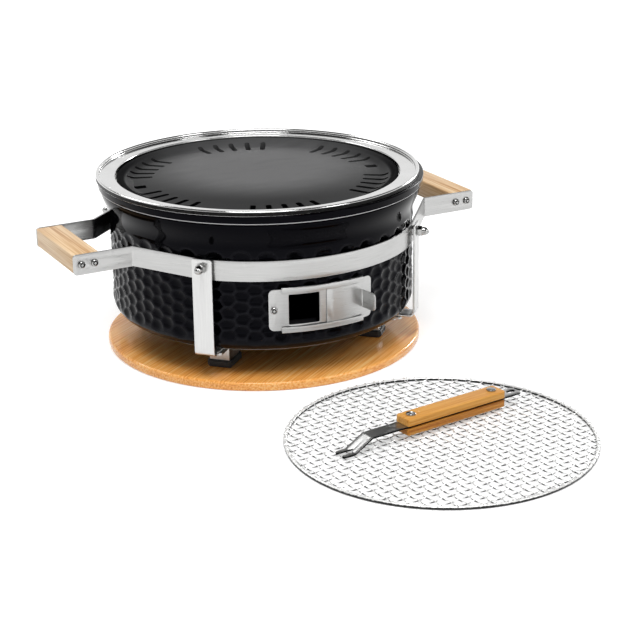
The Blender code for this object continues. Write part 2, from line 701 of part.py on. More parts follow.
def foot_mesh():
    """Box-section foot, open below, with a flange that is bolted under the leg's shelf."""
    half = FOOT_WIDTH / 2
    top = FOOT_Z + FOOT_HEIGHT
    inner = FOOT_REACH - FOOT_DEPTH
    flange_end = FOOT_REACH + FOOT_FLANGE_LENGTH
    tube = block((-half, -FOOT_REACH, FOOT_Z), (half, -inner, top - STRIP_THICKNESS / 2))
    outline = rounded_rectangle(inner - FOOT_WALL, flange_end, -half - FOOT_WALL, half + FOOT_WALL,
                                STRIP_END_ROUND)
    hole = round_hole(foot_bolt_radius(), 0, FOOT_BOLT_RADIUS + HOLE_CLEARANCE)
    flange = as_mesh(blank(outline, [hole], STRIP_THICKNESS))
    frontward = Matrix.Rotation(-math.pi / 2, 4, "Z")
    moved(flange, Matrix.Translation((0, 0, top - STRIP_THICKNESS / 2)) @ frontward)
    hollow = block((-half + FOOT_WALL, -FOOT_REACH + FOOT_WALL, FOOT_Z - FOOT_WALL),
                   (half - FOOT_WALL, -inner - FOOT_WALL, top - STRIP_THICKNESS))
    return combined(combined(flange, tube, "UNION"), hollow)


def foot_cap_mesh():
    """Rubber cap with a pocket for the foot's lower end."""
    inner = FOOT_REACH - FOOT_DEPTH
    pocket_half = FOOT_WIDTH / 2 + SEAT_GAP
    top = CAP_Z + FOOT_CAP_HEIGHT
    floor = CAP_Z + FOOT_CAP_FLOOR

    def outline(grow, height):
        half = pocket_half + grow
        corner = max(FOOT_CAP_ROUND * grow / FOOT_CAP_WALL, SEAT_GAP)
        start, end = inner - SEAT_GAP - grow, FOOT_REACH + SEAT_GAP + grow
        points = rounded_rectangle(start, end, -half, half, corner, 1)
        return [Vector((y, -x, height)) for x, y in points]

    soft = FOOT_CAP_WALL / 2
    return loft([outline(FOOT_CAP_WALL - soft, CAP_Z), outline(FOOT_CAP_WALL, CAP_Z + soft),
                 outline(FOOT_CAP_WALL, top - soft), outline(FOOT_CAP_WALL - soft, top), outline(0, top),
                 outline(0, floor)])


def foot_bolt_mesh():
    """Hexagon bolt up through the foot's flange into the leg's shelf, its head's seat at height 0."""
    shank = STRIP_THICKNESS * 2
    return loft([circle(FOOT_BOLT_RADIUS, shank, NUT_STEPS), circle(FOOT_BOLT_RADIUS, 0, NUT_STEPS),
                 hexagon(FOOT_BOLT_HEAD_RADIUS, 0), hexagon(FOOT_BOLT_HEAD_RADIUS, -FOOT_BOLT_HEAD_HEIGHT)])


def stud_mesh():
    """Plain stud from the band out through the spacer nut and the leg into the cap nut."""
    length = CAP_NUT_RADIUS + CAP_NUT_SOCKET - SEAT_GAP - (BAND_RADIUS - STRIP_THICKNESS / 2)
    return turned([(STUD_RADIUS, 0), (STUD_RADIUS, length)], SCREW_STEPS)


def spacer_nut_mesh():
    """Flat hexagon nut between the band and the leg."""
    hole = STUD_RADIUS + HOLE_CLEARANCE
    return loft([circle(hole, 0, NUT_STEPS), hexagon(NUT_RADIUS, 0), hexagon(NUT_RADIUS, SPACER_NUT_HEIGHT),
                 circle(hole, SPACER_NUT_HEIGHT, NUT_STEPS)], closed=True)


def cap_nut_mesh():
    """Domed cap nut with a blind socket for the stud."""
    hole = STUD_RADIUS + HOLE_CLEARANCE
    dome = []
    for step in range(DOME_STEPS + 1):
        angle = CAP_NUT_DOME_END * step / DOME_STEPS
        height = CAP_NUT_HEX_HEIGHT + CAP_NUT_DOME_HEIGHT * math.sin(angle)
        dome.append(circle(CAP_NUT_DOME_RADIUS * math.cos(angle), height, NUT_STEPS))
    return loft([circle(hole, CAP_NUT_SOCKET, NUT_STEPS), circle(hole, 0, NUT_STEPS), hexagon(NUT_RADIUS, 0),
                 hexagon(NUT_RADIUS, CAP_NUT_HEX_HEIGHT)] + dome)


def rolled(bm, radius):
    """Roll a flat solid round the bowl: X goes along the wall, Y up and Z outward."""
    half = VENT_LENGTH / 2
    steps = math.ceil(VENT_LENGTH / radius / ROLL_STEP)
    creased(bm, [VENT_LENGTH * step / steps - half for step in range(1, steps)])
    for vert in bm.verts:
        angle = vert.co.x / radius
        reach = radius + vert.co.z
        vert.co = (reach * math.sin(angle), -reach * math.cos(angle), vert.co.y)
    return as_mesh(bm)


def vent_frame_mesh():
    """Vent frame, made flat with its window and folded rails and then rolled to the bowl's wall."""
    half = VENT_LENGTH / 2
    low, high = VENT_Z, VENT_Z + VENT_HEIGHT
    window_low = low + WINDOW_RISE
    window = rounded_rectangle(VENT_WINDOW_START, VENT_WINDOW_START + VENT_WINDOW_WIDTH,
                               window_low, window_low + VENT_WINDOW_HEIGHT, VENT_WINDOW_CORNER, 1)
    middle = (low + high) / 2
    screws = [round_hole(place, middle, SCREW_RADIUS + HOLE_CLEARANCE) for place in vent_screw_places()]
    outline = rounded_rectangle(-half, half, low, high, VENT_CORNER)
    plate = as_mesh(blank(outline, [window] + screws, VENT_SHEET))
    moved(plate, Matrix.Translation((0, 0, VENT_SHEET / 2)))
    for edge, inward in ((low, 1), (high, -1)):
        plate = combined(plate, rail_mesh(edge, inward), "UNION")
    bm = bmesh.new()
    bm.from_mesh(plate)
    return rolled(bm, VENT_RADIUS)


def rail_mesh(edge, inward):
    """Folded rail along one edge of the flat vent frame: out from the edge and back over the door."""
    lip_under = 2 * VENT_SHEET + 2 * SEAT_GAP
    lip_over = lip_under + VENT_SHEET
    web_top = VENT_SHEET - RAIL_INSET
    section = [(RAIL_ROOT, RAIL_INSET), (-RAIL_DROP, RAIL_INSET), (-RAIL_DROP, lip_over),
               (RAIL_LIP - RAIL_DROP, lip_over), (RAIL_LIP - RAIL_DROP, lip_under),
               (VENT_SHEET - RAIL_DROP, lip_under), (VENT_SHEET - RAIL_DROP, web_top), (RAIL_ROOT, web_top)]
    half = RAIL_LENGTH / 2
    return loft([[Vector((x, edge + inward * y, z)) for y, z in section] for x in (-half, half)])


def vent_door_mesh():
    """Sliding door: a curved sheet between the rails, with a tongue bent out as a finger tab."""
    low = VENT_Z - RAIL_DROP + VENT_SHEET + SEAT_GAP
    high = 2 * VENT_Z + VENT_HEIGHT - low
    middle = (low + high) / 2
    tab_low, tab_high = middle - TAB_HEIGHT / 2, middle + TAB_HEIGHT / 2
    start_angle = DOOR_START / VENT_RADIUS
    bend = (TAB_BEND_RADIUS * math.pi / 2, -math.pi / 2)
    runs = [(DOOR_LENGTH, DOOR_LENGTH / DOOR_RADIUS), bend, (TAB_LENGTH, 0)]
    end = sum(run for run, turn in runs)
    tab = rounded_rectangle(DOOR_LENGTH - TAB_CORNER, end, tab_low, tab_high, TAB_CORNER)
    tongue = [(x, y) for x, y in tab if x > DOOR_LENGTH]
    outline = [(0, low), (DOOR_LENGTH, low), (DOOR_LENGTH, tab_low)] + tongue
    outline += [(DOOR_LENGTH, tab_high), (DOOR_LENGTH, high), (0, high)]
    start = (DOOR_RADIUS * math.sin(start_angle), -DOOR_RADIUS * math.cos(start_angle))
    return bent(blank(outline, [], VENT_SHEET), start, start_angle, runs,
                lambda x, y, across: (x, y, across))


def area(outline):
    """Area of a flat outline."""
    return abs(sum(a.cross(b) for a, b in zip(outline, outline[1:] + outline[:1]))) / 2


def net_gaps():
    """Outlines of the gaps in the net: squares, drawn in to the rim wire where they meet it."""
    reach = GRID_RADIUS - 2 * GRID_RIM_WIRE_RADIUS
    half = (NET_PITCH - NET_WIRE_WIDTH) / 2
    square = [Vector(corner) for corner in ((-half, -half), (half, -half), (half, half), (-half, half))]
    turn = Matrix.Rotation(NET_TURN, 2)
    count = math.ceil(GRID_RADIUS / NET_PITCH)
    gaps = []
    for row in range(-count, count + 1):
        for column in range(-count, count + 1):
            middle = Vector((column, row)) * NET_PITCH
            corners = [turn @ (middle + corner) for corner in square]
            gap = [point * min(1.0, reach / point.length) for point in corners]
            if area(gap) > NET_GAP_LEAST_AREA:
                gaps.append(gap)
    return gaps


def grid_mesh():
    """Wire cooking grid: a flat net of crossed wires held in a round rim wire."""
    wire = GRID_RIM_WIRE_RADIUS
    rim_radius = GRID_RADIUS - wire
    turns = [2 * math.pi * step / GRID_RIM_SIDES for step in range(GRID_RIM_SIDES)]
    rim = turned([(rim_radius + wire * math.sin(a), wire - wire * math.cos(a)) for a in turns], closed=True)
    low = NET_TOP_Z - NET_WIRE_HEIGHT
    sheet = turned([(rim_radius, low), (rim_radius, NET_TOP_Z)])
    cutters = [loft([[Vector((x, y, height)) for x, y in gap] for height in (low - wire, NET_TOP_Z + wire)])
               for gap in net_gaps()]
    return combined(combined(sheet, joined(cutters)), rim, "UNION")


def blade_runs():
    """Runs of the lifter's blade from its prongs to its tail."""
    bend = NECK_BEND_RADIUS * NECK_ANGLE
    straight = SHANK_LENGTH + SCALE_LENGTH + TAIL_LENGTH
    return [(PRONG_LENGTH, 0), (bend, NECK_ANGLE), (NECK_LENGTH, 0), (bend, -NECK_ANGLE), (straight, 0)]


def scale_start():
    """Distance along the blade to the front of the handle's scales."""
    return sum(run for run, turn in blade_runs()) - TAIL_LENGTH - SCALE_LENGTH


def rivet_places():
    """Distance along the blade to each rivet."""
    return [scale_start() + RIVET_INSET, scale_start() + SCALE_LENGTH - RIVET_INSET]


def blade_mesh():
    """Two-prong blade with its hang hole and rivet holes, bent at the prongs and at the neck."""
    runs = blade_runs()
    length = sum(run for run, turn in runs)
    half = BLADE_WIDTH / 2
    gap = half - PRONG_WIDTH
    root = PRONG_LENGTH + NOTCH_DEPTH
    outline = rounded_rectangle(0, length, -half, half, STRIP_END_ROUND)
    outline += [(0, gap + PRONG_ROUND), (PRONG_ROUND, gap), (PRONG_LENGTH, gap), (root, 0)]
    outline += [(PRONG_LENGTH, -gap), (PRONG_ROUND, -gap), (0, -gap - PRONG_ROUND)]
    hang_end = length - STRIP_END_ROUND
    hang_half = HANG_HOLE_WIDTH / 2
    hang = rounded_rectangle(hang_end - HANG_HOLE_LENGTH, hang_end, -hang_half, hang_half,
                             hang_half - SEAT_GAP)
    holes = [round_hole(place, 0, RIVET_RADIUS + HOLE_CLEARANCE) for place in rivet_places()]
    return bent(blank(outline, [hang] + holes, BLADE_THICKNESS), (0, 0), 0.0, runs,
                lambda x, z, across: (x, across, z))


def blade_point(distance):
    """Place along the blade's middle, in the lifter's own frame."""
    x, z, heading = along((0, 0), 0.0, blade_runs(), distance)
    return Vector((x, 0, z))


def scale_mesh(side):
    """One wooden scale of the lifter's handle, above or below the blade."""
    front, back = blade_point(scale_start()), blade_point(scale_start() + SCALE_LENGTH)
    inner = front.z + side * BLADE_SEAT
    outer = inner + side * SCALE_THICKNESS
    half = SCALE_WIDTH / 2
    full = rounded_rectangle(front.x, back.x, -half, half, SCALE_ROUND)
    eased = rounded_rectangle(front.x + SCALE_EASE, back.x - SCALE_EASE, SCALE_EASE - half, half - SCALE_EASE,
                              SCALE_ROUND - SCALE_EASE)
    loops = [(full, inner), (full, outer - side * SCALE_EASE), (eased, outer)]
    solid = loft([[Vector((x, y, height)) for x, y in outline] for outline, height in loops])
    low, high = sorted((inner, outer))
    tools = []
    for distance in rivet_places():
        place = blade_point(distance)
        hole = turned([(RIVET_RADIUS + HOLE_CLEARANCE, low - SCALE_EASE),
                       (RIVET_RADIUS + HOLE_CLEARANCE, high + SCALE_EASE)], RIVET_STEPS)
        tools.append(moved(hole, Matrix.Translation((place.x, 0, 0))))
    return combined(solid, joined(tools))


def rivet_mesh():
    """Rivet through both scales and the blade, its middle at the origin."""
    crown = RIVET_HEAD_RADIUS - RIVET_HEAD_HEIGHT / 2
    upper = [(RIVET_RADIUS, RIVET_SEAT), (RIVET_HEAD_RADIUS, RIVET_SEAT),
             (RIVET_HEAD_RADIUS, RIVET_SEAT + RIVET_HEAD_HEIGHT / 2), (crown, RIVET_SEAT + RIVET_HEAD_HEIGHT)]
    lower = [(radius, -height) for radius, height in reversed(upper)]
    return turned(lower + upper, RIVET_STEPS)


def lifter_place():
    """Where the lifter lies on the net: on the bend of its prongs and on the head of its rear rivet."""
    rear = blade_point(rivet_places()[1])
    head = rear.z - RIVET_SEAT - RIVET_HEAD_HEIGHT
    prong = -BLADE_THICKNESS / 2
    tilt = math.atan2(head - prong, rear.x - PRONG_LENGTH)
    lift = NET_TOP_Z + SEAT_GAP + PRONG_LENGTH * math.sin(tilt) - prong * math.cos(tilt)
    return (Matrix.Translation(LIFTER_TIP + Vector((0, 0, lift))) @ Matrix.Rotation(LIFTER_HEADING, 4, "Z")
            @ Matrix.Rotation(tilt, 4, "Y"))


def add(name, mesh, material, place=Matrix.Identity(4), parent=None):
    """Put one named piece in the scene; pieces that are alike share a mesh and its material."""
    piece = bpy.data.objects.new(name, mesh)
    if not mesh.materials:
        mesh.materials.append(material)
    bpy.context.scene.collection.objects.link(piece)
    piece.parent = parent
    piece.matrix_local = place
    return piece


def empty(name, place):
    """A frame that carries pieces."""
    frame = bpy.data.objects.new(name, None)
    bpy.context.scene.collection.objects.link(frame)
    frame.matrix_local = place
    return frame


def build_stand(steel, wood, rubber):
    """Board, legs, feet and what fastens the legs to the band."""
    add("base_board", board_mesh(), wood)
    leg, foot, cap = leg_mesh(), foot_mesh(), foot_cap_mesh()
    bolt, stud, spacer, cap_nut = foot_bolt_mesh(), stud_mesh(), spacer_nut_mesh(), cap_nut_mesh()
    angles = {"front_left": -LEG_ANGLE, "front_right": LEG_ANGLE,
              "rear_right": math.pi - LEG_ANGLE, "rear_left": math.pi + LEG_ANGLE}
    for side, angle in angles.items():
        turn = Matrix.Rotation(angle, 4, "Z")
        add(f"{side}_leg", leg, steel, turn)
        add(f"{side}_foot", foot, steel, turn)
        add(f"{side}_foot_cap", cap, rubber, turn)
        bolt_seat = FOOT_Z + FOOT_HEIGHT - STRIP_THICKNESS - SEAT_GAP
        add(f"{side}_foot_bolt", bolt, steel, turn @ Matrix.Translation((0, -foot_bolt_radius(), bolt_seat)))
        add(f"{side}_leg_stud", stud, steel, radial(angle, STUD_Z, BAND_RADIUS - STRIP_THICKNESS / 2))
        add(f"{side}_spacer_nut", spacer, steel, radial(angle, STUD_Z, SPACER_RADIUS))
        add(f"{side}_cap_nut", cap_nut, steel, radial(angle, STUD_Z, CAP_NUT_RADIUS))


def build_bowl(steel, glaze, iron):
    """Bowl, charcoal grate, rim ring and griddle plate."""
    add("bowl", bowl_mesh(), glaze)
    add("charcoal_grate", grate_mesh(), iron)
    grate_leg = grate_leg_mesh()
    for side, place in grate_leg_places().items():
        add(f"{side}_grate_leg", grate_leg, iron, Matrix.Translation(place))
    add("rim_ring", ring_mesh(), steel, Matrix.Translation(RING_SHIFT))
    add("griddle_plate", plate_mesh(), iron, Matrix.Translation(RING_SHIFT))


def build_band(steel, wood):
    """Band halves, handle blocks and their screws."""
    half_turn = Matrix.Rotation(math.pi, 4, "Z")
    band, handle, screw = band_mesh(), handle_mesh(), pan_screw(SCREW_LENGTH)
    add("front_band", band, steel)
    add("rear_band", band, steel, half_turn)
    for side, turn in (("right", Matrix.Identity(4)), ("left", half_turn)):
        add(f"{side}_handle", handle, wood, turn)
        for number, place in enumerate(handle_screw_places(), 1):
            add(f"{side}_handle_screw_{number}", screw, steel, turn @ place)


def build_vent(steel):
    """Vent frame, its sliding door on the bowl's axis, and two screws."""
    turn = Matrix.Rotation(VENT_TURN, 4, "Z")
    add("vent_frame", vent_frame_mesh(), steel, turn)
    add("vent_door", vent_door_mesh(), steel, turn)
    screw = pan_screw(VENT_SCREW_LENGTH)
    seat = VENT_RADIUS + VENT_SHEET + SEAT_GAP
    height = VENT_Z + VENT_HEIGHT / 2
    for side, place in zip(("left", "right"), vent_screw_places()):
        add(f"{side}_vent_screw", screw, steel, radial(vent_angle(place), height, seat))


def build_loose_pieces(steel, wood):
    """Cooking grid, and the lifter lying on it."""
    add("cooking_grid", grid_mesh(), steel, Matrix.Translation(GRID_PLACE))
    lifter = empty("lifter", lifter_place())
    add("lifter_blade", blade_mesh(), steel, parent=lifter)
    add("lifter_upper_scale", scale_mesh(1), wood, parent=lifter)
    add("lifter_lower_scale", scale_mesh(-1), wood, parent=lifter)
    rivet = rivet_mesh()
    for side, distance in zip(("front", "rear"), rivet_places()):
        add(f"lifter_{side}_rivet", rivet, steel, Matrix.Translation(blade_point(distance)), lifter)


def main():
    """Build every piece in an empty scene."""
    for item in list(bpy.data.objects):
        bpy.data.objects.remove(item)
    steel = finish("stainless_steel", (0.62, 0.62, 0.61), 0.32, 1.0)
    wood = finish("bamboo", (0.72, 0.46, 0.20), 0.45, 0.0)
    glaze = finish("black_glaze", (0.012, 0.012, 0.015), 0.12, 0.0)
    iron = finish("black_cast_iron", (0.035, 0.035, 0.037), 0.62, 0.2)
    rubber = finish("black_rubber", (0.02, 0.02, 0.02), 0.8, 0.0)
    build_stand(steel, wood, rubber)
    build_bowl(steel, glaze, iron)
    build_band(steel, wood)
    build_vent(steel)
    build_loose_pieces(steel, wood)


main()
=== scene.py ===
# %% [markdown]
# # A table-top hibachi grill
# A round charcoal grill stands on a bamboo board: a thick glazed bowl hangs in a frame of steel strip, with
# a slotted iron plate on top and a sliding air vent at the front. A wire net and a lifter lie beside it.
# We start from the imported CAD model, which says where every piece is and how it moves, and build finer
# pieces in its place: the CAD carries the joints, and these pieces carry the looks.

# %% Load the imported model
import json
import math

import bmesh
import bpy
import numpy as np
from mathutils import Matrix, Vector


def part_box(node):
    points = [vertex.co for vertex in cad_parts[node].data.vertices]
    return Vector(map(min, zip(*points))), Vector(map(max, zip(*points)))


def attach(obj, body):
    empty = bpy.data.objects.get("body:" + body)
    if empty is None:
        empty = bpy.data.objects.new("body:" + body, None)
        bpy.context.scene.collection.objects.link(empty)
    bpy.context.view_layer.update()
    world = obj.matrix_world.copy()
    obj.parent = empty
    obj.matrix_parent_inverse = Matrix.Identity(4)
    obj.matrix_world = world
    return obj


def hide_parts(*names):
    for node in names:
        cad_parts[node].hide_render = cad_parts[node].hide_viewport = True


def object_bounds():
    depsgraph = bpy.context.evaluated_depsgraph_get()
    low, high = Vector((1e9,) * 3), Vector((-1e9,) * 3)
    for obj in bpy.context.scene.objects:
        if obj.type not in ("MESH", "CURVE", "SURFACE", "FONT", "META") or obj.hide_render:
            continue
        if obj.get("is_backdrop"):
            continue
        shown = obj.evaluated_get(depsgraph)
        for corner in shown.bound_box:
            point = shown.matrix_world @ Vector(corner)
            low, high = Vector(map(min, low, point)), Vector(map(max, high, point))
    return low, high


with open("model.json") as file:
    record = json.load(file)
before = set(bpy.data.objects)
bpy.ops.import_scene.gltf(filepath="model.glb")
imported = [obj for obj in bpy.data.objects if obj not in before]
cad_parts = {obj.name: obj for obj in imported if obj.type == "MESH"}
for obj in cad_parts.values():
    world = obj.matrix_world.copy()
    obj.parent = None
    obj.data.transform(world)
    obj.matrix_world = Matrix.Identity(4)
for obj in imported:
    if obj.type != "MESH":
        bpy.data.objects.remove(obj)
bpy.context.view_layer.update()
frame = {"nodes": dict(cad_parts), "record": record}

scene = bpy.context.scene

# %% [markdown]
# ## Sizes
# These repeat the CAD's own sizes in metres, so that each finer piece lands on the solid it stands for.
# Z is up and the board's underside is at 0; angles round the bowl run from the front (-Y) towards +X.

# %% Sizes
SHEET_GAP = 0.0003
BOARD_RADIUS = 0.1618
BOARD_THICKNESS = 0.0090
STRIP_WIDTH = 0.0200
STRIP_THICKNESS = 0.0020
STRIP_END_ROUND = 0.0030
STRIP_EASE = 0.0003
BOWL_Z = 0.0353
BOWL_RADIUS = 0.1545
BOWL_WALL_TOP = 0.1500
FOOT_EDGE_Z = 0.0371
RIM_EDGE_Z = 0.1674
RIM_EDGE_RADIUS = 0.1600
RING_SHIFT = Matrix.Translation((-0.0032, 0.0, 0.0))
BAND_RADIUS = 0.1558
BAND_Z = 0.1093
BAND_WRAP = math.radians(48.5)
ARM_REACH = 0.2230
ARM_Y = 0.0510
ARM_RISE = 0.0058
ARM_TOP_Z = 0.1351
ARM_BEND = 0.0040
HANDLE_DEPTH = 0.0265
HANDLE_HALF = 0.0497
HANDLE_HEIGHT = 0.0185
SCREW_HOLE = 0.0023
SCREW_INSETS = (0.008, 0.021)
LEG_ANGLE = math.radians(47.0)
LEG_RADIUS = 0.1609
LEG_TOP_Z = 0.1308
SHELF_Z = 0.0330
SHELF_END = 0.0980
LEG_BEND = 0.0050
STUD_HOLE = 0.0028
STUD_Z = 0.1223
CAP_NUT_RADIUS = 0.1622
VENT_TURN = math.radians(-4.5)
VENT_RADIUS = 0.1548
VENT_SHEET = 0.0010
VENT_EASE = 0.0002
VENT_Z = 0.0593
VENT_HEIGHT = 0.0412
VENT_LENGTH = 0.1084
WINDOW_START = -0.0352
WINDOW_WIDTH = 0.0302
WINDOW_HEIGHT = 0.0300
VENT_SCREWS = {"left": -0.0490, "right": 0.0490}
GRID_PLACE = Vector((0.0144, -0.3215, 0.0))
GRID_RADIUS = 0.1420
LIFTER_TIP = Vector((-0.0845, -0.3132, 0.0))
LIFTER_HEADING = math.radians(8.0)
SIDES = {"front_left": -LEG_ANGLE, "front_right": LEG_ANGLE,
         "rear_right": math.pi - LEG_ANGLE, "rear_left": math.pi + LEG_ANGLE}
print("bowl", round(2000 * BOWL_RADIUS), "mm across, board", round(2000 * BOARD_RADIUS), "mm")

# %% [markdown]
# ## Camera
# The photo was taken from the front left, a little above the grill, with a long lens. Turning the camera
# about the grill's upright axis first, and then stepping back and up, keeps each number easy to change.

# %% Camera
CAMERA_TURN = -0.493509
CAMERA_PLACE = (0.0584047, -1.6210759, 0.6087730)
CAMERA_TILT = 0.3521203
CAMERA_ROLL = -0.0107394
lens = bpy.data.cameras.new("lens")
lens.sensor_width = 36.0
lens.lens = 92.92
camera = bpy.data.objects.new("camera", lens)
scene.collection.objects.link(camera)
camera.matrix_world = (Matrix.Rotation(CAMERA_TURN, 4, "Z") @ Matrix.Translation(CAMERA_PLACE)
                       @ Matrix.Rotation(math.pi / 2 - CAMERA_TILT, 4, "X") @ Matrix.Rotation(CAMERA_ROLL, 4, "Z"))
scene.camera = camera
print("camera", [round(value, 3) for value in camera.matrix_world.translation])

# %% [markdown]
# ## Node helpers
# A finish is a small tree of nodes. These helpers add a node with its inputs set or linked, so each finish
# further on reads as a short list of what it is made of.


# %% Node helpers
def put(tree, socket, value):
    """Link an output to a socket, or set the socket to a plain value."""
    if isinstance(value, bpy.types.NodeSocket):
        tree.links.new(value, socket)
    else:
        socket.default_value = value


def node(tree, kind, **values):
    """Add a shader node and fill the inputs that are named, with spaces written as underscores."""
    item = tree.nodes.new("ShaderNode" + kind)
    for name, value in values.items():
        put(tree, item.inputs[name.replace("_", " ")], value)
    return item


def maths(tree, operation, first, second=0.0, third=0.0):
    """The result of one sum on two or three values or outputs."""
    item = tree.nodes.new("ShaderNodeMath")
    item.operation = operation
    for socket, value in zip(item.inputs, (first, second, third)):
        put(tree, socket, value)
    return item.outputs[0]


def ramp(tree, factor, *stops):
    """A colour ramp through (position, colour) stops."""
    item = tree.nodes.new("ShaderNodeValToRGB")
    tree.links.new(factor, item.inputs["Fac"])
    marks = item.color_ramp.elements
    marks[0].position, marks[1].position = stops[0][0], stops[-1][0]
    marks[0].color, marks[1].color = (*stops[0][1], 1), (*stops[-1][1], 1)
    for position, colour in stops[1:-1]:
        marks.new(position).color = (*colour, 1)
    return item.outputs["Color"]


def new_finish(name, **values):
    """A material, its tree and its shader, with the shader's plain values set."""
    material = bpy.data.materials.new(name)
    material.use_nodes = True
    shader = material.node_tree.nodes["Principled BSDF"]
    for key, value in values.items():
        shader.inputs[key.replace("_", " ")].default_value = value
    return material, material.node_tree, shader


def stretched(tree, size, turn=(0, 0, 0)):
    """Object coordinates for a texture whose grain has a size in metres and is turned to lie along a piece."""
    spot = node(tree, "TexCoord").outputs["Object"]
    mapping = node(tree, "Mapping", Vector=spot, Rotation=turn, Scale=size)
    mapping.vector_type = "TEXTURE"
    return mapping.outputs["Vector"]


def mottle(tree, size, detail=4.0, turn=(0, 0, 0)):
    """Noise between 0 and 1 with a grain of the given size."""
    return node(tree, "TexNoise", Vector=stretched(tree, size, turn), Scale=1.0, Detail=detail).outputs["Fac"]


def span(tree, factor, low, high):
    """A factor of 0 to 1 as a value from low to high."""
    return node(tree, "MapRange", Value=factor, To_Min=low, To_Max=high).outputs["Result"]


def bumped(tree, shader, height, depth):
    """Tilt the shader's surface by a height texture, so many metres deep."""
    bump = node(tree, "Bump", Height=height, Strength=1.0, Distance=depth)
    tree.links.new(bump.outputs["Normal"], shader.inputs["Normal"])


# %% [markdown]
# ## Floor, background and light
# The photo is a packshot: a white ground, a soft shadow under the grill, and large soft lamps that draw
# pale shapes on the glaze and the steel. The floor and the sky glow only for the rays that look at them,
# so the ground is white without flooding the grill with light, and the shadow stays. In mirrors the sky
# darkens upward, as a studio does above its backdrop: without it black glaze would turn grey. One narrow
# lamp at the right shows only in mirrors, where it draws a pale line and adds no light.

# %% Floor, background and light
FLOOR_GLOW = 0.40
SKY_FILL = 0.40
SKY_DARK = 0.10
floor_mesh = bpy.data.meshes.new("floor")
floor_mesh.from_pydata([(-6, -6, 0), (6, -6, 0), (6, 6, 0), (-6, 6, 0)], [], [(0, 1, 2, 3)])
floor = bpy.data.objects.new("floor", floor_mesh)
scene.collection.objects.link(floor)
floor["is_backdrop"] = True


def looked_at(tree):
    """1 for the rays that look at a surface, straight or in a mirror, and 0 for those that carry its light."""
    path = node(tree, "LightPath")
    seen = maths(tree, "MAXIMUM", path.outputs["Is Camera Ray"], path.outputs["Is Glossy Ray"])
    return maths(tree, "MAXIMUM", seen, path.outputs["Is Transmission Ray"])


paper, paper_tree, paper_shader = new_finish("paper")
paper_tree.nodes.remove(paper_shader)
grain = ramp(paper_tree, mottle(paper_tree, (0.03, 0.03, 0.03)), (0.0, (0.79, 0.79, 0.79)), (1.0, (0.81, 0.81, 0.81)))
matt = node(paper_tree, "BsdfDiffuse", Color=grain)
away = node(paper_tree, "VectorMath", Vector=node(paper_tree, "TexCoord").outputs["Object"])
away.operation = "LENGTH"
reach = node(paper_tree, "MapRange", Value=away.outputs["Value"], From_Min=0.6, From_Max=1.4,
             To_Min=FLOOR_GLOW, To_Max=1.0)
strength = maths(paper_tree, "MULTIPLY", looked_at(paper_tree), reach.outputs["Result"])
glow = node(paper_tree, "Emission", Strength=strength)
both = node(paper_tree, "AddShader")
paper_tree.links.new(matt.outputs[0], both.inputs[0])
paper_tree.links.new(glow.outputs[0], both.inputs[1])
paper_tree.links.new(both.outputs[0], paper_tree.nodes["Material Output"].inputs["Surface"])
floor_mesh.materials.append(paper)

sky = bpy.data.worlds.new("sky")
sky.use_nodes = True
scene.world = sky
sky_tree = sky.node_tree
heading = node(sky_tree, "SeparateXYZ", Vector=node(sky_tree, "TexCoord").outputs["Generated"])
ceiling = node(sky_tree, "MapRange", Value=heading.outputs["Z"], From_Min=0.30, From_Max=0.50, To_Min=0.0,
               To_Max=1.0 - SKY_DARK).outputs["Result"]
dimmed = maths(sky_tree, "MULTIPLY", ceiling, node(sky_tree, "LightPath").outputs["Is Glossy Ray"])
sky_strength = maths(sky_tree, "SUBTRACT", span(sky_tree, looked_at(sky_tree), SKY_FILL, 1.0), dimmed)
sky_tree.links.new(sky_strength, sky_tree.nodes["Background"].inputs["Strength"])
sky_tree.nodes["Background"].inputs["Color"].default_value = (1, 1, 1, 1)


def lamp(name, place, aim, width, height, power, lights=True):
    """A rectangular soft lamp, pointed at a place; one that doesn't light is only seen in mirrors."""
    light = bpy.data.lights.new(name, "AREA")
    light.shape = "RECTANGLE"
    light.size, light.size_y, light.energy = width, height, power
    item = bpy.data.objects.new(name, light)
    scene.collection.objects.link(item)
    item.location = place
    item.rotation_euler = (Vector(aim) - Vector(place)).to_track_quat("-Z", "Y").to_euler()
    item.visible_camera = False
    item.visible_diffuse = lights


AIM = (0, -0.1, 0.1)
lamp("rear_left", (-0.50, 0.95, 1.20), AIM, 0.9, 0.5, 8)
lamp("overhead", (-0.30, -0.70, 1.75), AIM, 1.0, 0.9, 23)
lamp("front_right", (0.80, -1.30, 1.20), AIM, 0.5, 0.5, 6)
lamp("right_strip", (1.55, 0.50, 0.60), (0, 0, 0.1), 0.30, 0.60, 14, False)
scene.view_settings.view_transform = "Standard"

# %% [markdown]
# ## Finishes
# The grill is made of steel, bamboo, black glaze, cast iron and rubber. The steel is satin on the strips,
# polished on the ring, bright on the fixings and plated on the wires. Some light is painted into colours: a dark
# steel paints shade in the screw recesses and on the lifter's cut sides and a dark reflection on the ring lip's
# upright sides, the wires are painted shaded where they dip, the glaze has painted highlights on its ridges and
# edges, and the plate a painted sheen in its middle.
# No real surface is one flat colour, so each takes a little noise in its colour and roughness: streaks along
# brushed steel, glued strips and fibres in bamboo, fine grain on the casting.


# %% Finishes
def steel(name, tone, rough, streak):
    """Satin steel: fine streaks along one direction break up its reflection."""
    material, tree, shader = new_finish(name, Metallic=1.0)
    lines = mottle(tree, streak, 6.0)
    dark, pale = tone
    put(tree, shader.inputs["Base Color"], ramp(tree, lines, (0.3, dark), (0.7, pale)))
    put(tree, shader.inputs["Roughness"], span(tree, lines, rough[0], rough[1]))
    bumped(tree, shader, lines, 0.000002)
    return material


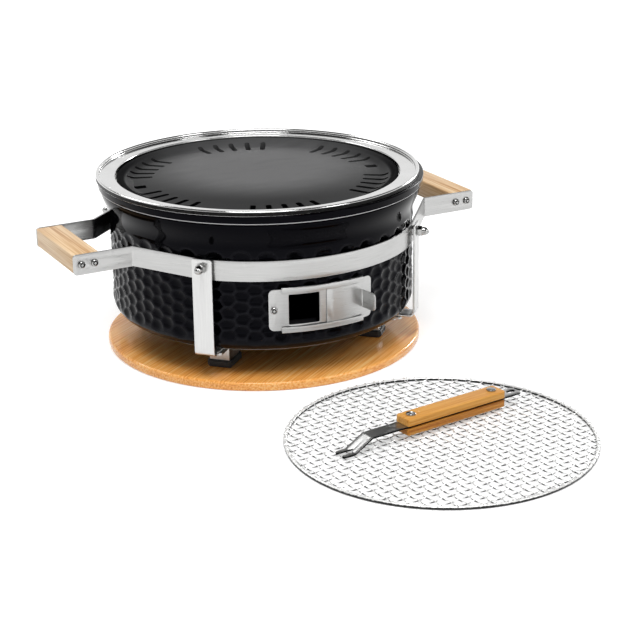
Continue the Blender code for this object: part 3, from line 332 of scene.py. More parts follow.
def bamboo(name, tones, strip, along, turn=(0, 0, 0), rough=(0.3, 0.45), coat=0.2):
    """Glued bamboo: strips of slightly different tone, with fibres and darker flecks along them."""
    material, tree, shader = new_finish(name, Coat_Weight=coat, Coat_Roughness=0.08, Specular_IOR_Level=0.25)
    axes = node(tree, "SeparateXYZ", Vector=stretched(tree, (strip, strip, strip), turn))
    tint = node(tree, "TexWhiteNoise")
    tint.noise_dimensions = "1D"
    put(tree, tint.inputs["W"], maths(tree, "FLOOR", axes.outputs["XYZ".index(along) - 1]))
    fibre = mottle(tree, tuple(0.08 if axis == along else 0.0018 for axis in "XYZ"), 5.0, turn)
    cloud = mottle(tree, tuple(0.2 if axis == along else 0.02 for axis in "XYZ"), 2.0, turn)
    parts = [maths(tree, "MULTIPLY", value, share)
             for value, share in ((tint.outputs["Value"], 0.40), (fibre, 1.00), (cloud, 0.30))]
    tone = maths(tree, "ADD", maths(tree, "ADD", parts[0], parts[1]), maths(tree, "SUBTRACT", parts[2], 0.35))
    put(tree, shader.inputs["Base Color"], ramp(tree, tone, (0.2, tones[0]), (0.5, tones[1]), (0.8, tones[2])))
    put(tree, shader.inputs["Roughness"], span(tree, fibre, rough[0], rough[1]))
    bumped(tree, shader, fibre, 0.00003)
    return material


def coated(name, tones, rough, size, depth):
    """A dark surface with a fine cloudy grain."""
    material, tree, shader = new_finish(name)
    cloud = mottle(tree, (size, size, size), 5.0)
    put(tree, shader.inputs["Base Color"], ramp(tree, cloud, (0.3, tones[0]), (0.7, tones[1])))
    put(tree, shader.inputs["Roughness"], span(tree, cloud, rough[0], rough[1]))
    bumped(tree, shader, cloud, depth)
    return material


def glazed(name, pit, ridge_highlight, edge):
    """Black glaze with painted highlights: paler on the ridges of the hammered wall, with a pale painted line at two
    sharp edges.
    """
    material, tree, shader = new_finish(name, IOR=1.16, Specular_Tint=(0.6, 0.6, 0.75, 1))
    cloud = mottle(tree, (0.016, 0.016, 0.016), 3.0)
    sharp = node(tree, "NewGeometry").outputs["Pointiness"]
    place = node(tree, "SeparateXYZ", Vector=node(tree, "TexCoord").outputs["Object"]).outputs
    height = place["Z"]
    square = maths(tree, "ADD", maths(tree, "MULTIPLY", place["X"], place["X"]),
                   maths(tree, "MULTIPLY", place["Y"], place["Y"]))
    # Painted highlights: pointiness lightens the ridges below the wall's top, and thin pale lines are painted at the
    # rim's outer edge and at the foot's edge.
    wall = maths(tree, "LESS_THAN", height, BOWL_WALL_TOP)
    painted_sheen = node(tree, "MapRange", Value=maths(tree, "MULTIPLY", sharp, wall), From_Min=0.495, From_Max=0.54)
    rim_edge = maths(tree, "MULTIPLY", maths(tree, "COMPARE", height, RIM_EDGE_Z, 0.0005),
                     maths(tree, "GREATER_THAN", square, RIM_EDGE_RADIUS ** 2))
    painted_edge_lines = maths(tree, "MAXIMUM", rim_edge, maths(tree, "COMPARE", height, FOOT_EDGE_Z, 0.0008))
    tone = maths(tree, "MAXIMUM", maths(tree, "MULTIPLY", painted_sheen.outputs["Result"], 0.5), painted_edge_lines)
    put(tree, shader.inputs["Base Color"], ramp(tree, tone, (0.0, pit), (0.5, ridge_highlight), (1.0, edge)))
    put(tree, shader.inputs["Roughness"], span(tree, cloud, 0.04, 0.10))
    bumped(tree, shader, cloud, 0.00002)
    return material


def seasoned(name, inner, outer):
    """Cast iron with a painted sheen: pale and smooth within a radius, black and rough beyond another, with a fine
    grain.
    """
    material, tree, shader = new_finish(name, IOR=1.12)
    spot = node(tree, "TexCoord").outputs["Object"]

    def reach(middle, low, high):
        """1 within a distance of the middle, falling to 0 at another."""
        level = node(tree, "VectorMath", Vector=spot)
        level.operation = "MULTIPLY"
        level.inputs[1].default_value = (1, 1, 0)
        away = node(tree, "VectorMath", Vector=level.outputs["Vector"])
        away.operation = "DISTANCE"
        away.inputs[1].default_value = middle
        fade = node(tree, "MapRange", Value=away.outputs["Value"], From_Min=low, From_Max=high,
                    To_Min=1.0, To_Max=0.0)
        fade.interpolation_type = "SMOOTHSTEP"
        return fade.outputs["Result"]

    cloud = mottle(tree, (0.0011, 0.0011, 0.0011), 5.0)
    patch = mottle(tree, (0.03, 0.012, 0.03), 4.0)
    # Painted sheen: the colour is paler round a point just behind the middle and fades to black towards the rim,
    # mottled by the patch noise.
    painted_sheen = maths(tree, "MULTIPLY", maths(tree, "ADD", maths(tree, "MULTIPLY", patch, 0.6), 0.7),
                 reach((0.022, 0.038, 0), inner, outer))
    rim = span(tree, reach((0, 0, 0), 0.1330, 0.1365), 0.55, 0.0)
    put(tree, shader.inputs["Base Color"],
        ramp(tree, painted_sheen, (0.0, (0.002, 0.002, 0.0024)), (1.0, (0.085, 0.085, 0.086))))
    put(tree, shader.inputs["Roughness"], maths(tree, "ADD", span(tree, cloud, 0.26, 0.36), rim))
    bumped(tree, shader, cloud, 0.00003)
    return material


def dip_shaded_wire(name, low, high):
    """Plated wire with painted shade: dark where it dips and pale where it rises; low and high are the heights
    between which it turns from dark to pale.
    """
    material, tree, shader = new_finish(name, Metallic=0.6)
    spot = node(tree, "TexCoord").outputs["Object"]
    height = node(tree, "SeparateXYZ", Vector=spot).outputs["Z"]
    rise = node(tree, "MapRange", Value=height, From_Min=low, From_Max=high).outputs["Result"]
    cloud = mottle(tree, (0.003, 0.003, 0.003), 3.0)
    # Painted shade by height, with the mottle mixed in.
    dip_shade_and_mottle = maths(tree, "ADD", rise, maths(tree, "MULTIPLY", maths(tree, "SUBTRACT", cloud, 0.5), 0.5))
    put(tree, shader.inputs["Base Color"],
        ramp(tree, dip_shade_and_mottle, (0.45, (0.012, 0.012, 0.012)), (0.66, (0.93, 0.93, 0.92))))
    put(tree, shader.inputs["Roughness"], span(tree, cloud, 0.30, 0.45))
    return material


satin = steel("satin_steel", ((0.42, 0.42, 0.415), (0.48, 0.48, 0.475)), (0.26, 0.30), (0.03, 0.03, 0.0007))
polished = steel("polished_steel", ((0.66, 0.66, 0.655), (0.72, 0.72, 0.715)), (0.10, 0.14), (0.02, 0.02, 0.0007))
satin_upright = steel("satin_steel_upright", ((0.55, 0.55, 0.545), (0.60, 0.60, 0.595)), (0.28, 0.32),
                      (0.0007, 0.0007, 0.03))
bright = steel("bright_steel", ((0.30, 0.30, 0.295), (0.44, 0.44, 0.435)), (0.08, 0.16), (0.003, 0.003, 0.003))
shaded = steel("shaded_steel", ((0.006, 0.006, 0.006), (0.015, 0.015, 0.015)), (0.35, 0.50), (0.003, 0.003, 0.003))
# On the net the dips are painted shaded; on the rim wire the lower half is painted shaded and the upper half lit.
wire = dip_shaded_wire("wire_steel", 0.0006, 0.0022)
rim_wire = dip_shaded_wire("rim_steel", 0.0010, 0.0038)
board_wood = bamboo("board_bamboo", ((0.50, 0.14, 0.018), (0.88, 0.38, 0.085), (0.98, 0.64, 0.26)), 0.024, "X",
                    (0, 0, math.radians(35)), (0.16, 0.28), 0.4)
handle_wood = bamboo("handle_bamboo", ((0.44, 0.23, 0.090), (0.66, 0.45, 0.25), (0.80, 0.63, 0.43)), 0.0062, "Y",
                     coat=0.0)
# The glaze's ridge and edge tones are painted highlights.
glaze = glazed("black_glaze", (0.0003, 0.0003, 0.0006), (0.012, 0.012, 0.014), (0.50, 0.50, 0.51))
iron = seasoned("seasoned_iron", 0.060, 0.145)
rubber = coated("rubber", ((0.006, 0.006, 0.006), (0.014, 0.014, 0.014)), (0.55, 0.75), 0.0016, 0.00004)
print("finishes", len(bpy.data.materials))

# %% [markdown]
# ## Shape helpers
# Nearly everything here is turned (board, bowl, ring, plate, screws) or bent from flat sheet (band, legs,
# vent, lifter). So two tools do most of the work: one spins a line round the upright axis, and the other cuts
# a flat blank with soft edges and carries each of its points to its bent place.


# %% Shape helpers
def smooth(mesh, sharp=35.0):
    """Shade a mesh smooth, with crisp edges where it turns more than an angle."""
    mesh.shade_smooth()
    mesh.set_sharp_from_angle(angle=math.radians(sharp))
    return mesh


def as_mesh(bm, sharp=35.0):
    """A finished mesh that faces outward."""
    bmesh.ops.recalc_face_normals(bm, faces=bm.faces[:])
    mesh = bpy.data.meshes.new("shape")
    bm.to_mesh(mesh)
    bm.free()
    return smooth(mesh, sharp)


def loft(loops, sharp=35.0):
    """A closed shape through loops of points, each joined to the next."""
    bm = bmesh.new()
    rings = [[bm.verts.new(point) for point in loop] for loop in loops]
    bm.faces.new(rings[0])
    bm.faces.new(rings[-1])
    for first, second in zip(rings, rings[1:]):
        for number in range(len(first)):
            bm.faces.new((first[number - 1], first[number], second[number], second[number - 1]))
    return as_mesh(bm, sharp)


def two_finishes(mesh, main, other, where):
    """Give a mesh its main finish, and another on the faces that a test picks."""
    for finish in (main, other):
        mesh.materials.append(finish)
    for face in mesh.polygons:
        face.material_index = int(where(face))
    return mesh


def softened(corners, steps=6, closed=False):
    """A line through (radius, height, rounding) corners, with each corner eased."""
    line = []
    for number, (radius, height, size) in enumerate(corners):
        here = Vector((radius, height))
        if size == 0 or (not closed and number in (0, len(corners) - 1)):
            line.append(here)
            continue
        before = (Vector(corners[number - 1][:2]) - here).normalized() * size
        after = (Vector(corners[(number + 1) % len(corners)][:2]) - here).normalized() * size
        line += [here + before * (1 - t) ** 2 + after * t ** 2 for t in np.linspace(0, 1, steps + 1)]
    return line


def lathe(line, steps=160, closed=False, inward=None):
    """Spin a line of (radius, height) points round Z; a closed line makes a ring."""
    line = np.array([tuple(point) for point in line])
    angle = np.arange(steps) * 2 * np.pi / steps
    radius = np.repeat(line[:, :1], steps, axis=1)
    height = np.repeat(line[:, 1:], steps, axis=1)
    if inward:
        radius = radius - inward(angle, radius, height)
    points = np.stack([radius * np.sin(angle), -radius * np.cos(angle), height], axis=2).reshape(-1, 3)
    rows = len(line)
    turn = np.arange(steps)
    ahead = (turn + 1) % steps
    faces = []
    for row in range(rows if closed else rows - 1):
        low, high = row * steps, (row + 1) % rows * steps
        faces += np.stack([low + turn, low + ahead, high + ahead, high + turn], axis=1).tolist()
    if not closed:
        faces += [turn[::-1].tolist(), ((rows - 1) * steps + turn).tolist()]
    mesh = bpy.data.meshes.new("turned")
    mesh.from_pydata(points.tolist(), [], faces)
    return smooth(mesh)


def joined(meshes):
    """Several meshes as one."""
    bm = bmesh.new()
    for mesh in meshes:
        bm.from_mesh(mesh)
    result = bpy.data.meshes.new("joined")
    bm.to_mesh(result)
    bm.free()
    return smooth(result)


def moved(mesh, matrix):
    """The mesh, carried by a matrix."""
    mesh.transform(matrix)
    return mesh


def block(low, high, bevel=0.0, steps=4):
    """A box between two corners, with rounded edges."""
    bm = bmesh.new()
    bmesh.ops.create_cube(bm, size=1.0)
    low, high = Vector(low), Vector(high)
    for corner in bm.verts:
        corner.co = [a if side < 0 else b for a, b, side in zip(low, high, corner.co)]
    if bevel:
        bmesh.ops.bevel(bm, geom=bm.edges[:], offset=bevel, segments=steps, profile=0.5, affect="EDGES")
    return as_mesh(bm)


def cut(mesh, tool):
    """The mesh with the tool's shape taken out of it."""
    body, knife = bpy.data.objects.new("body", mesh), bpy.data.objects.new("knife", tool)
    for item in (body, knife):
        scene.collection.objects.link(item)
    modifier = body.modifiers.new("cut", "BOOLEAN")
    modifier.object, modifier.operation, modifier.solver = knife, "DIFFERENCE", "EXACT"
    result = bpy.data.meshes.new_from_object(body.evaluated_get(bpy.context.evaluated_depsgraph_get()))
    for item in (body, knife):
        bpy.data.objects.remove(item)
    return smooth(result)


def rounded_outline(start, end, low, high, radius, steps=5):
    """Corner points of a rectangle with round corners, counter-clockwise."""
    points = []
    for number, (x, y) in enumerate(((end, low), (end, high), (start, high), (start, low))):
        middle = Vector((x + (radius if x == start else -radius), y + (radius if y == low else -radius)))
        for step in range(steps + 1):
            angle = math.pi / 2 * (number - 1 + step / steps)
            points.append(middle + radius * Vector((math.cos(angle), math.sin(angle))))
    return points


def round_hole(x, y, radius, steps=20):
    """Corner points of a round hole in a sheet."""
    return [Vector((x + radius * math.cos(2 * math.pi * s / steps), y + radius * math.sin(2 * math.pi * s / steps)))
            for s in range(steps)]


def flat_sheet(outline, holes, thickness, edge):
    """A flat blank: x along it, y across and z through its thickness, with its edges eased."""
    bm = bmesh.new()
    for loop in [outline] + holes:
        corners = [bm.verts.new((x, y, -thickness / 2)) for x, y in loop]
        for number in range(len(corners)):
            bm.edges.new((corners[number - 1], corners[number]))
    bmesh.ops.triangle_fill(bm, use_beauty=True, edges=bm.edges[:], normal=(0, 0, 1))
    raised = bmesh.ops.extrude_face_region(bm, geom=bm.faces[:], use_keep_orig=True)["geom"]
    top = [item for item in raised if isinstance(item, bmesh.types.BMVert)]
    bmesh.ops.translate(bm, verts=top, vec=(0, 0, thickness))
    bmesh.ops.recalc_face_normals(bm, faces=bm.faces[:])
    rims = [item for item in bm.edges if abs(item.link_faces[0].normal.z) + abs(item.link_faces[1].normal.z) < 1.5
            and abs(item.verts[0].co.z - item.verts[1].co.z) < thickness / 2]
    bmesh.ops.bevel(bm, geom=rims, offset=edge, segments=2, profile=0.5, affect="EDGES")
    return bm


def shaped(blank, cuts, where):
    """Cut a flat blank across at places along it, then carry its points to their bent places."""
    for place in cuts:
        everything = blank.verts[:] + blank.edges[:] + blank.faces[:]
        bmesh.ops.bisect_plane(blank, geom=everything, dist=1e-7, plane_co=(place, 0, 0), plane_no=(1, 0, 0))
    for corner in blank.verts:
        corner.co = where(*corner.co)
    return as_mesh(blank)


def along(start, runs, distance):
    """Point and heading at a distance along a flat path of (length, turn) runs."""
    x, y = start
    heading = 0.0
    for length, turn in runs:
        step = min(distance, length)
        if turn:
            radius = length / turn
            angle = step / radius
            x += radius * (math.sin(heading + angle) - math.sin(heading))
            y -= radius * (math.cos(heading + angle) - math.cos(heading))
            heading += angle
        else:
            x += step * math.cos(heading)
            y += step * math.sin(heading)
        distance -= step
        if distance <= 0:
            break
    return x, y, heading


def bend_cuts(runs, step=math.radians(3)):
    """Where a blank is cut so that it can follow its runs."""
    cuts = []
    start = 0.0
    for length, turn in runs:
        count = max(1, math.ceil(abs(turn) / step))
        cuts += [start + length * number / count for number in range(1, count + 1)]
        start += length
    return cuts[:-1]


def bent(blank, start, runs, place):
    """Bend a blank along a path; place says where a path point and a height across the strip go."""
    def where(distance, across, through):
        x, y, heading = along(start, runs, distance)
        return place(x - math.sin(heading) * through, y + math.cos(heading) * through, across)
    return shaped(blank, bend_cuts(runs), where)


def radial(angle, height, radius):
    """A frame on the bowl's side, its Z axis pointing outward."""
    return (Matrix.Rotation(angle, 4, "Z") @ Matrix.Translation((0, -radius, height))
            @ Matrix.Rotation(math.pi / 2, 4, "X"))


def piece(name, mesh, finish, body, nodes, place=None):
    """Show a mesh as one piece of the grill, riding on a body, in place of the solids it stands for."""
    if not mesh.materials:
        mesh.materials.append(finish)
    shown = bpy.data.objects.new(name, mesh)
    scene.collection.objects.link(shown)
    if place:
        shown.matrix_world = place
    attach(shown, body)
    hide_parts(*nodes)


# %% [markdown]
# ## Board
# A round bamboo board, glued from strips and lacquered, with its edge rounded over. It is a plain turned
# disc; the strips and fibres are in its finish, because they lie flush and you could not feel them.

# %% Board
edge = 0.0032
board_line = softened([(0.02, 0, 0), (BOARD_RADIUS, 0, edge), (BOARD_RADIUS, BOARD_THICKNESS, edge),
                       (0.02, BOARD_THICKNESS, 0)], 8)
piece("round_board", lathe(board_line, 192), board_wood, "board", ["base_board"])
print("board", len(board_line), "points in its line")

# %% [markdown]
# ## Bowl
# The glazed bowl has a hammered wall: columns of shallow dimples, each column half a dimple higher than the
# last, so that they pack like honeycomb. Each is struck a little off its place and depth, and neighbours
# blend. We could sculpt them or use a displacement texture, but a sum for each point of the wall is exact and
# exports as it is: find the dimples around the point and sink it by the deepest.

# %% Bowl
DIMPLE_COLUMNS = 74
DIMPLE_ROWS = 7
DIMPLE_PITCH = 0.0118
DIMPLE_FIRST = 0.0530
DIMPLE_DEPTH = 0.0022
DIMPLE_REACH = 0.0092
DIMPLE_SQUEEZE = 1.28
DIMPLE_SWAY = 0.15
DIMPLE_DRIFT = 0.12
DIMPLE_MARGIN = 0.0045


def chance(column, row, salt):
    """A fixed value between -1 and 1 for each dimple, which looks random."""
    return 2 * ((np.sin(column % DIMPLE_COLUMNS * 12.9898 + row * 78.233 + salt) * 43758.5453) % 1.0) - 1


def hammered(angle, radius, height):
    """How far the dimples sink each point of the bowl's outer wall."""
    place = angle * DIMPLE_COLUMNS / (2 * np.pi)
    width = 2 * np.pi * BOWL_RADIUS / DIMPLE_COLUMNS
    total = np.zeros_like(height)
    for shift in (-1, 0, 1, 2):
        column = np.floor(place) + shift
        rise = column % 2 / 2
        nearest = np.round((height - DIMPLE_FIRST) / DIMPLE_PITCH - rise)
        for step in (-1, 0, 1):
            row = nearest + step
            across = (place - column - DIMPLE_SWAY * chance(column, row, 0)) * width
            middle = (row + rise + DIMPLE_DRIFT * chance(column, row, 1)) * DIMPLE_PITCH
            up = (height - DIMPLE_FIRST - middle) * DIMPLE_SQUEEZE
            deep = DIMPLE_DEPTH * (0.94 + 0.06 * chance(column, row, 2))
            sunk = deep * (1 - (across ** 2 + up ** 2) / DIMPLE_REACH ** 2)
            struck = (row >= 0) & (row < DIMPLE_ROWS) & (sunk > 0)
            total += np.where(struck, sunk, 0) ** 8
    outside = (radius > BOWL_RADIUS - DIMPLE_MARGIN) & (height < BOWL_WALL_TOP)
    return np.where(outside, np.minimum(total ** 0.125, DIMPLE_DEPTH), 0)


def bowl_line():
    """The bowl's section: up its outer side, over the rim and down its inner side."""
    turn = np.linspace(0, math.pi / 2, 14)
    base = np.stack([BOWL_RADIUS - 0.0160 * (1 - np.sin(turn)), BOWL_Z + 0.0170 * (1 - np.cos(turn))], axis=1)
    wall = [(BOWL_RADIUS, height) for height in np.arange(BOWL_Z + 0.0180, 0.1385, 0.0011)]
    share = np.linspace(0, 1, 16)
    swell = np.stack([BOWL_RADIUS + 0.0075 * share ** 2 * (3 - 2 * share), 0.1390 + 0.0263 * share], axis=1)
    rim = softened([(0.1620, 0.1653, 0), (0.1606, 0.1660, 0.0003), (0.1641, 0.1671, 0.0006), (0.1645, 0.1747, 0.0012),
                    (0.1555, 0.1747, 0.0010), (0.1425, 0.1490, 0.003), (0.1405, 0.0493, 0.008), (0.02, 0.0493, 0)], 6)
    return [(0.02, BOWL_Z), *map(tuple, base), *wall, *map(tuple, swell), *map(tuple, rim[1:])]


def port_tool():
    """A box for the air port through the wall, behind the vent's window."""
    half = WINDOW_WIDTH / 2 + 0.001
    low = VENT_Z + (VENT_HEIGHT - WINDOW_HEIGHT) / 2 - 0.001
    box = block((-half, -0.17, low), (half, -0.118, low + WINDOW_HEIGHT + 0.002))
    middle = VENT_TURN + (WINDOW_START + WINDOW_WIDTH / 2) / VENT_RADIUS
    return moved(box, Matrix.Rotation(middle, 4, "Z"))


bowl = cut(lathe(bowl_line(), DIMPLE_COLUMNS * 10, inward=hammered), port_tool())
piece("hammered_bowl", smooth(bowl, 50), glaze, "grill", ["bowl"])
print("bowl", len(bowl.vertices), "points")

# %% [markdown]
# ## Rim ring and plate
# A pressed steel ring lies on the bowl's rim and steps down to a ledge. On the ledge lies the cast plate: its
# middle is slightly raised so that fat runs out to the six groups of slots. The slots are cut through with
# one boolean, from thirty rounded tools at once.

# %% Rim ring and plate
ring_line = softened([(0.1628, 0.1750, 0.0004), (0.1628, 0.1800, 0.0017), (0.1593, 0.1800, 0.0017),
                      (0.1591, 0.1765, 0.0008), (0.1435, 0.1765, 0.0010), (0.1435, 0.1685, 0.0006),
                      (0.1355, 0.1685, 0.0004), (0.1355, 0.1670, 0.0004), (0.1450, 0.1670, 0.0006),
                      (0.1450, 0.1750, 0.0006)], 6, True)
LIP_INSIDE = 0.1588
# The lip's upright sides take the shaded steel: a painted dark reflection.
ring = two_finishes(lathe(ring_line, 256, True), polished, shaded,
                    lambda face: face.center.xy.length > LIP_INSIDE and abs(face.normal.z) < 0.1)
piece("pressed_ring", ring, polished, "ring", ["rim_ring"], RING_SHIFT)


def spoke_tool(start, end, width, corner, angle):
    """A tool for one opening along the plate's radius."""
    outline = rounded_outline(start, end, -width / 2, width / 2, corner)
    tool = loft([[(y, -x, height) for x, y in outline] for height in (0.150, 0.185)])
    return moved(tool, Matrix.Rotation(angle, 4, "Z"))


plate_line = softened([(0.02, 0.1640, 0), (0.1340, 0.1640, 0.001), (0.1340, 0.1688, 0.0004), (0.1420, 0.1688, 0.0006),
                       (0.1420, 0.1745, 0.0010), (0.1380, 0.1745, 0.0010), (0.1275, 0.1690, 0.0040),
                       (0.0700, 0.1710, 0.0200), (0.02, 0.1710, 0)], 8)
slot_turn = math.radians(-13.5)
tools = [spoke_tool(0.1065, 0.1325, 0.0055, 0.0024, slot_turn + math.radians(60 * group + 7.7 * (slot - 2)))
         for group in range(6) for slot in range(5)]
tools += [spoke_tool(0.1150, 0.1270, 0.0100, 0.0020, math.radians(turn)) for turn in (-101, 79)]
plate = cut(lathe(plate_line, 240), joined(tools))
piece("slotted_plate", plate, iron, "plate", ["griddle_plate"], RING_SHIFT)
print("plate", len(tools), "openings")

# %% [markdown]
# ## Band and handles
# Two equal strips make the band. Each is bent round half of the bowl, runs straight and upward for a short
# way, and turns out into two arms; a bamboo block is screwed between the arms at each side. One strip is made
# and used twice, the second turned half round.


# %% Band and handles
def band_runs():
    """Lengths and turns of one strip, from the end of its left arm to the end of its right arm."""
    sine, cosine = math.sin(BAND_WRAP), math.cos(BAND_WRAP)
    corner = BAND_RADIUS * sine + (BAND_RADIUS * cosine - ARM_Y) / sine * cosine
    trim = ARM_BEND * math.tan(BAND_WRAP / 2)
    arm = (ARM_REACH - corner - trim, 0)
    bend = (ARM_BEND * BAND_WRAP, -BAND_WRAP)
    straight = ((corner - BAND_RADIUS * sine) / cosine - trim, 0)
    return corner, [arm, bend, straight, (2 * BAND_RADIUS * BAND_WRAP, 2 * BAND_WRAP), straight, bend, arm]


def band_strip():
    """The front strip of the band."""
    corner, runs = band_runs()
    start = BAND_RADIUS * math.sin(BAND_WRAP)
    length = sum(run for run, turn in runs)
    outline = rounded_outline(0, length, 0, STRIP_WIDTH, STRIP_END_ROUND)
    places = [place for inset in SCREW_INSETS for place in (inset, length - inset)]
    holes = [round_hole(place, STRIP_WIDTH / 2, SCREW_HOLE) for place in places]

    def place(x, y, across):
        share = min(1.0, max(0.0, (abs(x) - start) / (corner - start)))
        return x, y, BAND_Z + across + ARM_RISE * share
    return bent(flat_sheet(outline, holes, STRIP_THICKNESS, STRIP_EASE), (-ARM_REACH, -ARM_Y), runs, place)


HALF_TURN = Matrix.Rotation(math.pi, 4, "Z")
strip = band_strip()
piece("front_strip", strip, satin, "grill", ["front_band"])
piece("rear_strip", strip, satin, "grill", ["rear_band"], HALF_TURN)
handle = block((ARM_REACH - HANDLE_DEPTH, -HANDLE_HALF, ARM_TOP_Z - HANDLE_HEIGHT),
               (ARM_REACH, HANDLE_HALF, ARM_TOP_Z), 0.0014)
piece("right_grip", handle, handle_wood, "grill", ["right_handle"])
piece("left_grip", handle, handle_wood, "grill", ["left_handle"], HALF_TURN)
print("strip", len(strip.vertices), "points")

# %% [markdown]
# ## Screws
# Pan-head screws with a cross recess hold the handles and the vent. One is turned, two crossed slots are cut
# into its head, and the same mesh is used ten times.


# %% Screws
def pan_screw(length):
    """A pan-head screw with its seat at height 0 and its shank below."""
    line = softened([(0.0006, -length, 0), (0.0020, -length, 0.0004), (0.0020, 0, 0), (0.0036, 0, 0.0002),
                     (0.0036, 0.0014, 0.0012), (0.0016, 0.0024, 0.0012), (0.0003, 0.0024, 0)], 6)
    cross = joined([block((-0.0021, -0.00045, 0.0011), (0.0021, 0.00045, 0.004)),
                    block((-0.00045, -0.0021, 0.0012), (0.00045, 0.0021, 0.0041))])
    # Faces inside the cross recess take the shaded steel: painted shade in the recess.
    return two_finishes(cut(lathe(line, 40), cross), bright, shaded,
                        lambda face: 0.0010 < face.center.z < 0.00235 and face.center.xy.length < 0.0022)


def standing(node_name):
    """Where a handle screw sits: on its arm, pointing out along Y."""
    low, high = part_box(node_name)
    side = 1 if low.y + high.y > 0 else -1
    seat = ARM_Y + STRIP_THICKNESS / 2 + SHEET_GAP
    middle = (low + high) / 2
    spin = Matrix.Rotation(math.radians(47 * len(node_name) + 31 * int(node_name[-1])), 4, "Z")
    return (Matrix.Translation((middle.x, side * seat, middle.z))
            @ Matrix.Rotation(-side * math.pi / 2, 4, "X") @ spin)


long_screw, short_screw = pan_screw(0.016), pan_screw(0.010)
for hand in ("left", "right"):
    for number in range(1, 5):
        solid = f"{hand}_handle_screw_{number}"
        piece(f"{hand}_grip_screw_{number}", long_screw, bright, "grill", [solid], standing(solid))
for hand, place in VENT_SCREWS.items():
    seat = radial(VENT_TURN + place / VENT_RADIUS, VENT_Z + VENT_HEIGHT / 2,
                  VENT_RADIUS + VENT_SHEET + SHEET_GAP)
    piece(f"{hand}_vent_fixing", short_screw, bright, "grill", [f"{hand}_vent_screw"], seat)
print("screws", 10)

# %% [markdown]
# ## Legs
# Four strips hang from the band on studs, run down beside the bowl and turn in under it as shelves. A domed
# nut covers the end of each stud. The feet, their bolts, the studs and the nuts behind the legs stay as the
# CAD solids: they are small, plain and already as round as they need to be.


# %% Legs
def leg_strip():
    """The leg in front of the bowl's axis: down from its top and then in under the bowl."""
    drop = LEG_TOP_Z - SHELF_Z - STRIP_THICKNESS / 2 - LEG_BEND
    shelf = LEG_RADIUS - LEG_BEND - SHELF_END
    runs = [(drop, 0), (LEG_BEND * math.pi / 2, math.pi / 2), (shelf, 0)]
    length = sum(run for run, turn in runs)
    half = STRIP_WIDTH / 2
    outline = rounded_outline(0, length, -half, half, 0.002)
    holes = [round_hole(LEG_TOP_Z - STUD_Z, 0, STUD_HOLE)]
    return bent(flat_sheet(outline, holes, STRIP_THICKNESS, STRIP_EASE), (0, 0), runs,
                lambda x, y, across: (across, -LEG_RADIUS + y, LEG_TOP_Z - x))


def cap_nut():
    """A domed nut: a six-sided foot with eased corners, and a dome over it."""
    foot = lathe(softened([(0.0026, 0, 0), (0.0052, 0, 0.0003), (0.0052, 0.0050, 0.0005), (0.0030, 0.0052, 0)], 3), 6)
    turn = np.linspace(0, math.radians(86), 10)
    dome = lathe([(0.0043, 0.0046)] + [(0.0043 * math.cos(a), 0.0050 + 0.0070 * math.sin(a)) for a in turn], 36)
    return joined([foot, dome])


leg, nut = leg_strip(), cap_nut()
for side, angle in SIDES.items():
    piece(f"{side}_strip_leg", leg, satin_upright, "grill", [f"{side}_leg"],
          Matrix.Rotation(angle, 4, "Z"))
    piece(f"{side}_domed_nut", nut, bright, "grill", [f"{side}_cap_nut"],
          radial(angle, STUD_Z, CAP_NUT_RADIUS))
print("legs", len(SIDES))

# %% [markdown]
# ## Air vent
# A thin steel frame is screwed over the air port, with its top and bottom edges folded into rails. A curved
# door slides in the rails and has a tab bent out for a finger. Each is cut flat and rolled to the bowl's
# wall, as it would be in a workshop.

# %% Air vent
RAIL_HALF = 0.0420
DOOR_LENGTH = 0.0392
DOOR_START = 0.0019
DOOR_OVERLAP = 0.0007
DOOR_RADIUS = VENT_RADIUS + 0.0018
TAB_HALF = 0.009
TAB_LENGTH = 0.0180
TAB_BEND = 0.0015
TAB_ROUND = 0.0045


def rolled(x, y, z):
    """Where a point of the flat vent goes on the bowl's wall."""
    angle = VENT_TURN + x / VENT_RADIUS
    reach = VENT_RADIUS + VENT_SHEET / 2 + z
    return reach * math.sin(angle), -reach * math.cos(angle), y


def rail(section):
    """Spin a closed section of (radius, height) points along the length of a rail."""
    half = RAIL_HALF / VENT_RADIUS
    angles = np.linspace(VENT_TURN - half, VENT_TURN + half, 25)
    return loft([[(r * math.sin(a), -r * math.cos(a), z) for r, z in section] for a in angles])


def rail_section(base, up):
    """The folded edge: down from the frame, out, and back up over the door."""
    corners = [(0.0001, 0.0012, 0), (0.0001, -0.0020, 0.0010), (0.0036, -0.0020, 0.0010), (0.0036, 0.0039, 0.0004),
               (0.0026, 0.0039, 0.0004), (0.0026, -0.0010, 0.0002), (0.0009, -0.0010, 0.0002), (0.0009, 0.0012, 0)]
    line = softened([(VENT_RADIUS + out, base + up * rise, size) for out, rise, size in corners], 3, True)
    return [tuple(point) for point in line]


low, high = VENT_Z, VENT_Z + VENT_HEIGHT
window_low = low + (VENT_HEIGHT - WINDOW_HEIGHT) / 2
window = rounded_outline(WINDOW_START, WINDOW_START + WINDOW_WIDTH, window_low, window_low + WINDOW_HEIGHT, 0.001, 3)
outline = rounded_outline(-VENT_LENGTH / 2, VENT_LENGTH / 2, low, high, 0.005)
screw_holes = [round_hole(place, (low + high) / 2, SCREW_HOLE) for place in VENT_SCREWS.values()]
plate_cuts = np.linspace(-VENT_LENGTH / 2, VENT_LENGTH / 2, 30)[1:-1]
vent_plate = shaped(flat_sheet(outline, [window] + screw_holes, VENT_SHEET, VENT_EASE), plate_cuts, rolled)
vent = joined([vent_plate, rail(rail_section(low, 1)), rail(rail_section(high, -1))])
piece("vent_surround", vent, satin, "grill", ["vent_frame"])


